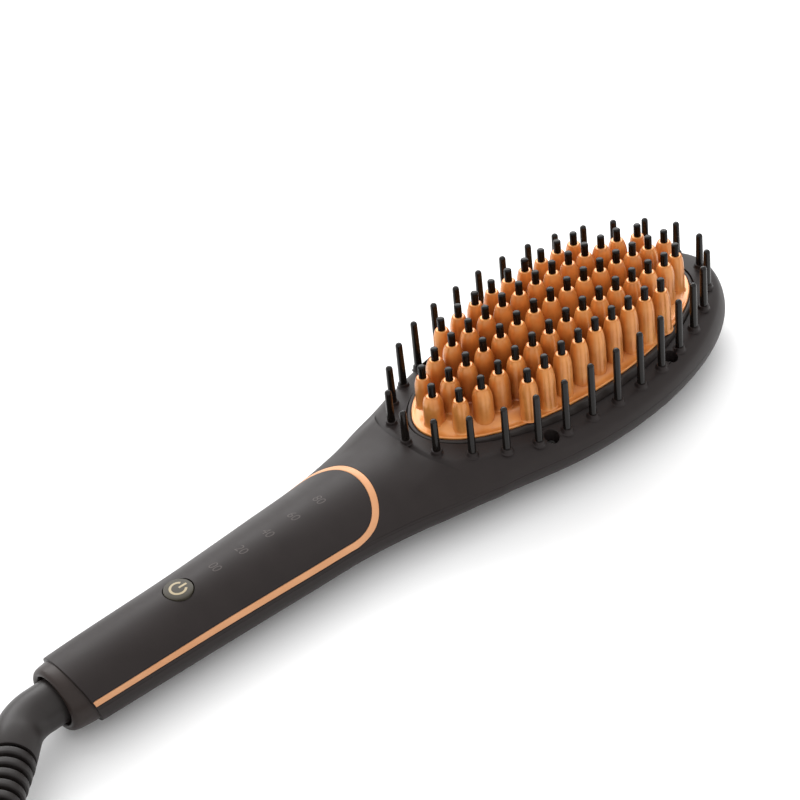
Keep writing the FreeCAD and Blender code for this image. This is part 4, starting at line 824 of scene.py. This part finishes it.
teeth = [(k * PITCH, 0.0, abs(k) == 7, FULL_FOOT) for k in range(-7, 8)]
for side in (1, -1):
    for end in (1, -1):
        teeth += [(end * (k + 0.5) * PITCH, side * INNER_ROW, k == 5, FULL_FOOT) for k in range(6)]
        teeth.append((end * 6.5 * PITCH, side * BENT_ROW, True, BENT_FOOT))
    teeth += [(k * PITCH, side * OUTER_ROW, True, OUTER_FOOT) for k in range(-4, 5)]
# Polished nylon: near black, with a small sharp glint.
gloss_nylon = material("polished_nylon", "#100C0A", "#0C0908", 0.5, 0.004, (0.1, 0.16), spec=0.16)
quarter = [k * math.pi / 12 for k in range(1, 6)]
teeth_skin = Skin()
tips_skin = Skin()
for x, y, at_edge, foot in teeth:
    base = PLATE_TOP if at_edge else PLATEAU
    tall = tip_height(x, y) - TIP_LONG - base
    waist = 0.96 * foot
    profile = [(foot + 0.5, -0.04), (foot + 0.2, 0.1), (foot + 0.05, 0.32), (foot, 0.7)]
    profile.append((waist, 0.45 * tall))
    for k in range(1, 11):
        rise = 1 - (1 - k / 10) ** 1.5
        drop = 0.42 * (k == 10)
        profile.append((waist - (waist - TOOTH_TOP) * rise**3.4, tall * (0.45 + 0.55 * rise) - drop))
    profile += [(TOOTH_TOP - inset, tall - drop) for inset, drop in RIM_ROUND]
    profile += [(TIP_R + 0.03, tall), (TIP_R + 0.02, tall - 0.4)]
    teeth_skin.turned(profile, x, y, base, 32)
    tip_side = tall + TIP_LONG - TIP_ROUND
    tip_profile = [(TIP_R, tall - 4.0), (TIP_R, tip_side)]
    for bow in quarter:
        tip_profile.append((TIP_R * (0.45 + 0.55 * math.cos(bow)), tip_side + TIP_ROUND * math.sin(bow)))
    tips_skin.turned(tip_profile, x, y, base, 20)
teeth_skin.piece("heating_teeth_coat", copper_cast, "brush", "copper_plate", "heating_teeth")
tips_skin.piece("bristle_tips_nylon", gloss_nylon, "brush", "gloss_black", "bristle_tips")

# Guard pins: smooth tapered pins moulded in nylon and pressed into the bosses round the face.
# They keep the scalp off the hot teeth.
PIN_FOOT_R, PIN_TOP_R = 1.28, 1.12
# Moulded nylon: black, with a soft line of light along each pin.
pin_nylon = material("moulded_nylon_pins", "#15110F", "#100D0B", 0.5, 0.004, (0.12, 0.18), spec=0.28)
pins_skin = Skin()
for x, y in pins:
    base = float(face_height(y)) + BOSS_HIGH
    along = x / PIN_LONG
    # Their tops follow a flatter crown than the teeth do.
    tall = 36.0 + 4.2 * (1 - along**2) + 0.4 * (along - 1) - base
    neck = tall - PIN_TOP_R
    pin_profile = [(PIN_FOOT_R, -2.6), (PIN_FOOT_R, 0.0), (1.2, neck / 2), (PIN_TOP_R, neck)]
    pin_profile += [(PIN_TOP_R * math.cos(bow), neck + PIN_TOP_R * math.sin(bow)) for bow in quarter]
    pins_skin.turned(pin_profile, x, y, base, 20)
pins_skin.piece("guard_pins_nylon", pin_nylon, "brush", "gloss_black", "guard_pins")

# End collar: a smooth satin moulding let into the slanted end of the handle, with a rounded lip round the
# mouth of the swivel. Each row of its profile is a station, a half width and a half height.
COLLAR_PROFILE = (
    (-188.0, 12.2, 10.0), (-190.5, 12.1, 10.0), (-195.0, 11.65, 9.95), (-197.6, 11.15, 9.86),
    (-198.6, 10.9, 9.76), (-199.3, 10.55, 9.5), (-199.8, 10.0, 9.05), (-200.0, 9.3, 8.6),
    (-199.85, 8.6, 8.25), (-199.5, 8.15, 8.06), (-199.0, 8.0, 8.0), (-193.0, 8.0, 8.0),
)
# Fine satin ABS: a brownish black, smoother than the coat beside it.
collar_plastic = material("satin_collar", "#2D2421", "#28201D", 0.3, 0.008, (0.36, 0.44), spec=0.25)
section = around(120)
collar_rows = []
for x, wide, tall in COLLAR_PROFILE:
    oval = [np.full(120, x), wide * np.cos(section), AXIS + tall * np.sin(section)]
    collar_rows.append(np.stack(oval, -1))
collar_skin = Skin()
collar_skin.sheet(np.stack(collar_rows), closed=True)
collar_skin.piece("end_collar_moulding", collar_plastic, "brush", "swivel_black", "end_collar", sharp=60.0)

# Swivel elbow: a satin tube that leaves the collar, turns 45 degrees and takes the cord's strain relief.
# It turns without limit on its journal, which a ring holds inside the handle.
TUBE_R = 7.1
AWAY = np.array([-math.sqrt(0.5), -math.sqrt(0.5), 0.0])
BEND_R = 14.0
BEND_IN = np.array([-205.2, 0.0, AXIS])
BOOT_END = np.array([-246.88, -35.88, AXIS])
BOOT_LONG = 37.0
ELBOW_END = BOOT_END - BOOT_LONG * AWAY


def swept(middles, headings, radii, count):
    """Rings of given radii about points on a level line, square to the line's heading there."""
    angle = around(count)
    side = np.stack([-headings[:, 1], headings[:, 0], np.zeros(len(headings))], -1)
    flat = side[:, None, :] * np.cos(angle)[None, :, None]
    tall = raised(1.0) * np.sin(angle)[None, :, None]
    return middles[:, None, :] + np.asarray(radii)[:, None, None] * (flat + tall)


# Moulded polycarbonate: satin black, with broad grey lights on its bend.
elbow_plastic = material("satin_elbow", "#2B2726", "#272322", 0.3, 0.01, (0.34, 0.42), spec=0.27)
bend_turn = np.linspace(0.0, math.pi / 4, 16)
level = 0 * bend_turn
straight = np.array([[x, 0.0, AXIS] for x in (-193.5, -200.0, -204.0)])
arc = BEND_IN + np.stack([-BEND_R * np.sin(bend_turn), BEND_R * (np.cos(bend_turn) - 1), level], -1)
middles = np.concatenate([straight, arc, [ELBOW_END - 0.3 * AWAY, ELBOW_END, ELBOW_END]])
round_way = np.stack([-np.cos(bend_turn), -np.sin(bend_turn), level], -1)
headings = np.concatenate([np.tile([-1.0, 0.0, 0.0], (3, 1)), round_way, np.tile(AWAY, (3, 1))])
radii = np.concatenate([np.full(len(middles) - 2, TUBE_R), [6.9, 6.0]])
elbow_skin = Skin()
elbow_skin.sheet(swept(middles, headings, radii, 64), closed=True)
elbow_skin.piece("swivel_elbow_tube", elbow_plastic, "swivel", "swivel_black", "swivel_elbow")

# Strain relief: a soft rubber boot moulded on the cord and held in the elbow, with ten ribs that shrink
# towards the cord. A rib's profile gives its share of the pitch and how far it is cut in.
RIBS = 10
RIB = BOOT_LONG / RIBS
RIB_PROFILE = (
    (0.0, 1.8), (0.24, 1.8), (0.29, 0.8), (0.33, 0.2), (0.4, 0.03), (0.48, 0.0), (0.78, 0.0), (0.88, 0.03),
    (0.94, 0.15), (0.985, 0.8),
)
LAST_RIB_R = 5.0
# Rubber: dark and dull, with a fine grain that softens its lights.
cord_rubber = material("matte_cord_rubber", "#231F1E", "#1F1B1A", 0.4, 0.03, (0.36, 0.46), spec=0.25)
boot_at = []
boot_r = []
for k in range(RIBS):
    rib_r = TUBE_R - (TUBE_R - LAST_RIB_R) * k / (RIBS - 1)
    for share, cut in RIB_PROFILE:
        boot_at.append((k + share) * RIB)
        boot_r.append(rib_r - cut)
boot_at = np.array([*boot_at, BOOT_LONG])
boot_r = np.array([*boot_r, 2.9])
boot_middles = ELBOW_END + boot_at[:, None] * AWAY
boot_skin = Skin()
boot_skin.sheet(swept(boot_middles, np.tile(AWAY, (len(boot_at), 1)), boot_r, 56), closed=True)
boot_skin.piece("strain_relief_boot", cord_rubber, "swivel", "cord_rubber", "strain_relief", sharp=50.0)

# Mains cord: a 6 mm rubber sheathed lead of about 1.8 m that drops to the table and lies wound in two
# layers. Its route is the solid model's.
CORD_R = 3.0
COIL_X, COIL_Y, COIL_R = -220.0, -106.0, 48.0
LAP, BED = 6.6, 4.0
HALF_WAY = 3.625
TURN_STEPS = 16
route = [BOOT_END.tolist(), (-256.4, -45.4, 10.6), (-264.6, -63.2, 6.4)]
route += [(-268.0, -82.0, BED), (-268.0, -100.0, BED)]
for k in range(1, round(2 * HALF_WAY * TURN_STEPS) + 1):
    turns = k / TURN_STEPS
    radius = COIL_R - LAP * (HALF_WAY - abs(turns - HALF_WAY))
    lift = float(eased((turns - HALF_WAY) * 2 + 0.5))
    theta = math.pi + math.tau * turns
    route.append((COIL_X + radius * math.cos(theta), COIL_Y + radius * math.sin(theta), BED + LAP * lift))
route += [(-214.0, -154.0, 10.6), (-199.0, -154.8, 10.0), (-184.0, -156.6, 8.4)]
route += [(-169.0, -159.4, 7.3), (-156.0, -162.6, 7.0)]
line = bpy.data.curves.new("cord_route", "CURVE")
line.dimensions = "3D"
line.resolution_u = 5
spline = line.splines.new("NURBS")
spline.points.add(len(route) - 1)
spline.points.foreach_set("co", np.column_stack([np.array(route) * MM, np.ones(len(route))]).ravel())
spline.order_u = 3
spline.use_endpoint_u = True
holder = bpy.data.objects.new("cord_route", line)
traced = bpy.data.meshes.new_from_object(holder)
cord_path = points_of(traced) / MM
bpy.data.objects.remove(holder)
flow = np.gradient(cord_path, axis=0)
flow /= np.linalg.norm(flow, axis=1, keepdims=True)
beside = np.cross(raised(1.0), flow)
beside /= np.linalg.norm(beside, axis=1, keepdims=True)
over = np.cross(flow, beside)
cord_angle = around(14)[None, :, None]
cord_ring = beside[:, None, :] * np.cos(cord_angle) + over[:, None, :] * np.sin(cord_angle)
cord_grid = cord_path[:, None, :] + CORD_R * cord_ring
cord_skin = Skin()
cord_skin.sheet(cord_grid, closed=True)
cord_skin.cap(cord_grid[0])
cord_skin.cap(cord_grid[-1])
mains_cord = cord_skin.piece(
    "mains_cord", cord_rubber, None, "cord_rubber", "cord_lead", "cord_coil", "cord_tail"
)
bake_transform(mains_cord)

# Tie: a woven hook and loop strap wrapped once round the winding, its end pressed down on itself.
# The loop's rows are an inset, a corner radius and a place across; the flap's are a height and a trim.
TIE_LOW = np.array([-200.8, 0.0])
TIE_HIGH = np.array([-168.0, 14.6])
LOOP_ROWS = (
    (0.7, 2.1, -112.0), (0.08, 2.7, -112.0), (0.0, 2.8, -111.8), (0.0, 2.8, -100.2), (0.08, 2.7, -100.0),
    (0.7, 2.1, -100.0), (0.7, 2.1, -112.0),
)
FLAP_ROWS = ((14.55, 0.0), (15.05, 0.0), (15.15, 0.15), (15.15, 5.0))


def strap_loop(inset, corner_r):
    """A rounded oblong round the winding's section, seen along the strap's width."""
    centre = (TIE_LOW + TIE_HIGH) / 2
    inner = (TIE_HIGH - TIE_LOW) / 2 - inset - corner_r
    spots = []
    for k, way in enumerate(((1, 1), (-1, 1), (-1, -1), (1, -1))):
        swing = np.linspace(0.0, math.pi / 2, 7) + k * math.pi / 2
        arc = np.stack([np.cos(swing), np.sin(swing)], -1)
        spots.append(centre + np.array(way) * inner + corner_r * arc)
    return np.concatenate(spots)


# Woven nylon: black and fuzzy, with a faint sheen along its edges.
strap_weave = material(
    "woven_strap", "#171717", "#101010", 0.35, 0.08, (0.75, 0.9), patch=1.2, Sheen_Weight=0.3
)
strap_rows = []
for inset, corner_r, y in LOOP_ROWS:
    loop = strap_loop(inset, corner_r)
    strap_rows.append(np.stack([loop[:, 0], np.full(len(loop), y), loop[:, 1]], -1))
strap_skin = Skin()
strap_skin.sheet(np.stack(strap_rows), closed=True)
flap_x = np.array([-178.0, -179.4, -180.0, -190.0, -192.6, -193.5, -193.9])
flap_half = np.array([5.6, 5.7, 5.7, 5.7, 5.0, 3.6, 1.6])
flap_rows = []
for z, trim in FLAP_ROWS:
    half = np.maximum(flap_half - trim, 0.02)
    loop_x = np.concatenate([flap_x, flap_x[::-1]])
    loop_y = COIL_Y + np.concatenate([half, -half[::-1]])
    flap_rows.append(np.stack([loop_x, loop_y, np.full(len(loop_x), z)], -1))
strap_skin.sheet(np.stack(flap_rows), closed=True)
strap_skin.cap(flap_rows[-1])
cord_tie = strap_skin.piece("cord_tie_strap", strap_weave, "brush", "tie_black", "cord_tie")

# Plug: a flat two pin rubber moulding with a ribbed neck and ridged grips, and nickel pins in insulating
# sleeves. It is moulded round the end of the cord and lies on the table.
PLUG_AT = np.array([-156.0, -162.6, 7.0])
PLUG_WIDE, PLUG_TALL = 13.5, 6.95
PIN_APART = 9.5
plug_way = np.array([13.0, -3.2, 0.0]) / math.hypot(13.0, 3.2)
plug_side = np.array([-plug_way[1], plug_way[0], 0.0])
plug_angle = around(64)


def plug_ring(along, wide, tall, fuller=1.0):
    """A ring across the plug: an oval, or a fuller shape where the power is below one."""
    flat = np.sign(np.cos(plug_angle)) * np.abs(np.cos(plug_angle)) ** fuller
    high = np.sign(np.sin(plug_angle)) * np.abs(np.sin(plug_angle)) ** fuller
    across = wide * flat[:, None] * plug_side
    return PLUG_AT + along * plug_way + across + tall * high[:, None] * raised(1.0)


plug_rows = [plug_ring(0.0, CORD_R, CORD_R)]
for k in range(5):
    for along, cut in ((0.0, 0.5), (0.3, 0.0), (1.5, 0.0), (1.8, 0.5)):
        grown = 2.4 * k + along
        plug_rows.append(plug_ring(grown, 4.0 + 0.14 * grown - cut, 3.8 + 0.07 * grown - cut))
for shape in ((12.4, 6.4, 4.9), (16.0, 9.7, 6.2, 0.95), (19.5, 12.4, 6.7, 0.9), (23.0, 13.4, 6.9, 0.86)):
    plug_rows.append(plug_ring(*shape))
for k in range(6):
    for along, cut in ((0.0, 0.0), (0.4, 0.4), (1.4, 0.4), (1.8, 0.0)):
        plug_rows.append(plug_ring(25.0 + 2.8 * k + along, PLUG_WIDE - 0.5 * cut, PLUG_TALL - cut, 0.85))
for along, trim in ((44.0, 0.0), (50.8, 0.55), (51.6, 0.8), (51.9, 1.1), (52.0, 1.6), (52.0, 6.0)):
    plug_rows.append(plug_ring(along, PLUG_WIDE - trim, PLUG_TALL - trim, 0.86))
plug_skin = Skin()
plug_skin.sheet(np.stack(plug_rows), closed=True)
plug_skin.cap(plug_rows[-1])
metal_skin = Skin()
SLEEVE = ((51.0, 2.06), (60.6, 2.06), (60.8, 1.98))
PRONG = ((51.0, 2.0), (69.0, 2.0), (69.8, 1.85), (70.5, 1.4), (70.9, 0.7), (71.0, 0.2))
for side in (PIN_APART, -PIN_APART):
    for skin, profile in ((plug_skin, SLEEVE), (metal_skin, PRONG)):
        rings = np.stack([plug_ring(along, r, r) + side * plug_side for along, r in profile])
        skin.sheet(rings, closed=True)
        skin.cap(rings[-1])
plug_body = plug_skin.piece("plug_moulding", cord_rubber, "brush", "cord_rubber", "plug_body")
# Nickel plate: bright and slightly warm.
nickel = material(
    "nickel_plated_pin", "#C9C7C2", "#B9B7B2", 0.25, 0.006, (0.16, 0.26), patch=2.0, Metallic=1.0
)
plug_pins = metal_skin.piece("plug_pin_pair", nickel, "brush", "pin_metal", "plug_pins")

# Light: a bright even room with a large soft lamp behind and to the left and a weaker one overhead, on a
# plain white table. The camera sees the room itself as plain white.
TABLE_HALF, TABLE_Z = 9, -0.0002
# Matte white paint, with hardly any change of tone.
table_paint = material("matte_white_table", "#F8F8F8", "#F6F6F6", 2.0, 0.01, (0.8, 0.9), patch=200.0)
corners = [(x * TABLE_HALF, y * TABLE_HALF, TABLE_Z) for x, y in ((-1, -1), (1, -1), (1, 1), (-1, 1))]
table_mesh = bpy.data.meshes.new("table_top")
table_mesh.from_pydata(corners, [], [(0, 1, 2, 3)])
table_mesh.materials.append(table_paint)
table_top = bpy.data.objects.new("table_top", table_mesh)
the_scene.collection.objects.link(table_top)
WHITE = (1.0, 1.0, 1.0, 1.0)
world = bpy.data.worlds.new("studio")
world.use_nodes = True
the_scene.world = world
room = world.node_tree.nodes["Background"]
room.inputs["Color"].default_value = WHITE
room.inputs["Strength"].default_value = 1.1
plain = put(world, "ShaderNodeBackground", {"Color": WHITE, "Strength": 1.0})
seen = put(world, "ShaderNodeLightPath").outputs["Is Camera Ray"]
choose = put(world, "ShaderNodeMixShader", {0: seen, 1: room.outputs[0], 2: plain.outputs[0]})
world.node_tree.links.new(choose.outputs[0], world.node_tree.nodes["World Output"].inputs["Surface"])
LIT_AT = np.array([-0.05, 0.0, 0.02])
for name, wide, tall, watts, far, aim in (
    ("overhead_lamp", 1.6, 1.3, 5.0, 1.3, (0.3, 0.7, 1.0)),
    ("back_lamp", 2.2, 0.7, 18.0, 1.4, (0.45, 0.78, 0.6)),
):
    lamp_data = bpy.data.lights.new(name, "AREA")
    lamp_data.shape = "RECTANGLE"
    lamp_data.size = wide
    lamp_data.size_y = tall
    lamp_data.energy = watts
    lamp = bpy.data.objects.new(name, lamp_data)
    aim = np.array(aim) / np.linalg.norm(aim)
    lamp_right = np.cross(raised(1.0), aim)
    lamp_right /= np.linalg.norm(lamp_right)
    stand(lamp, lamp_right, np.cross(aim, lamp_right), aim, LIT_AT + far * aim)
the_scene.view_settings.view_transform = "Standard"
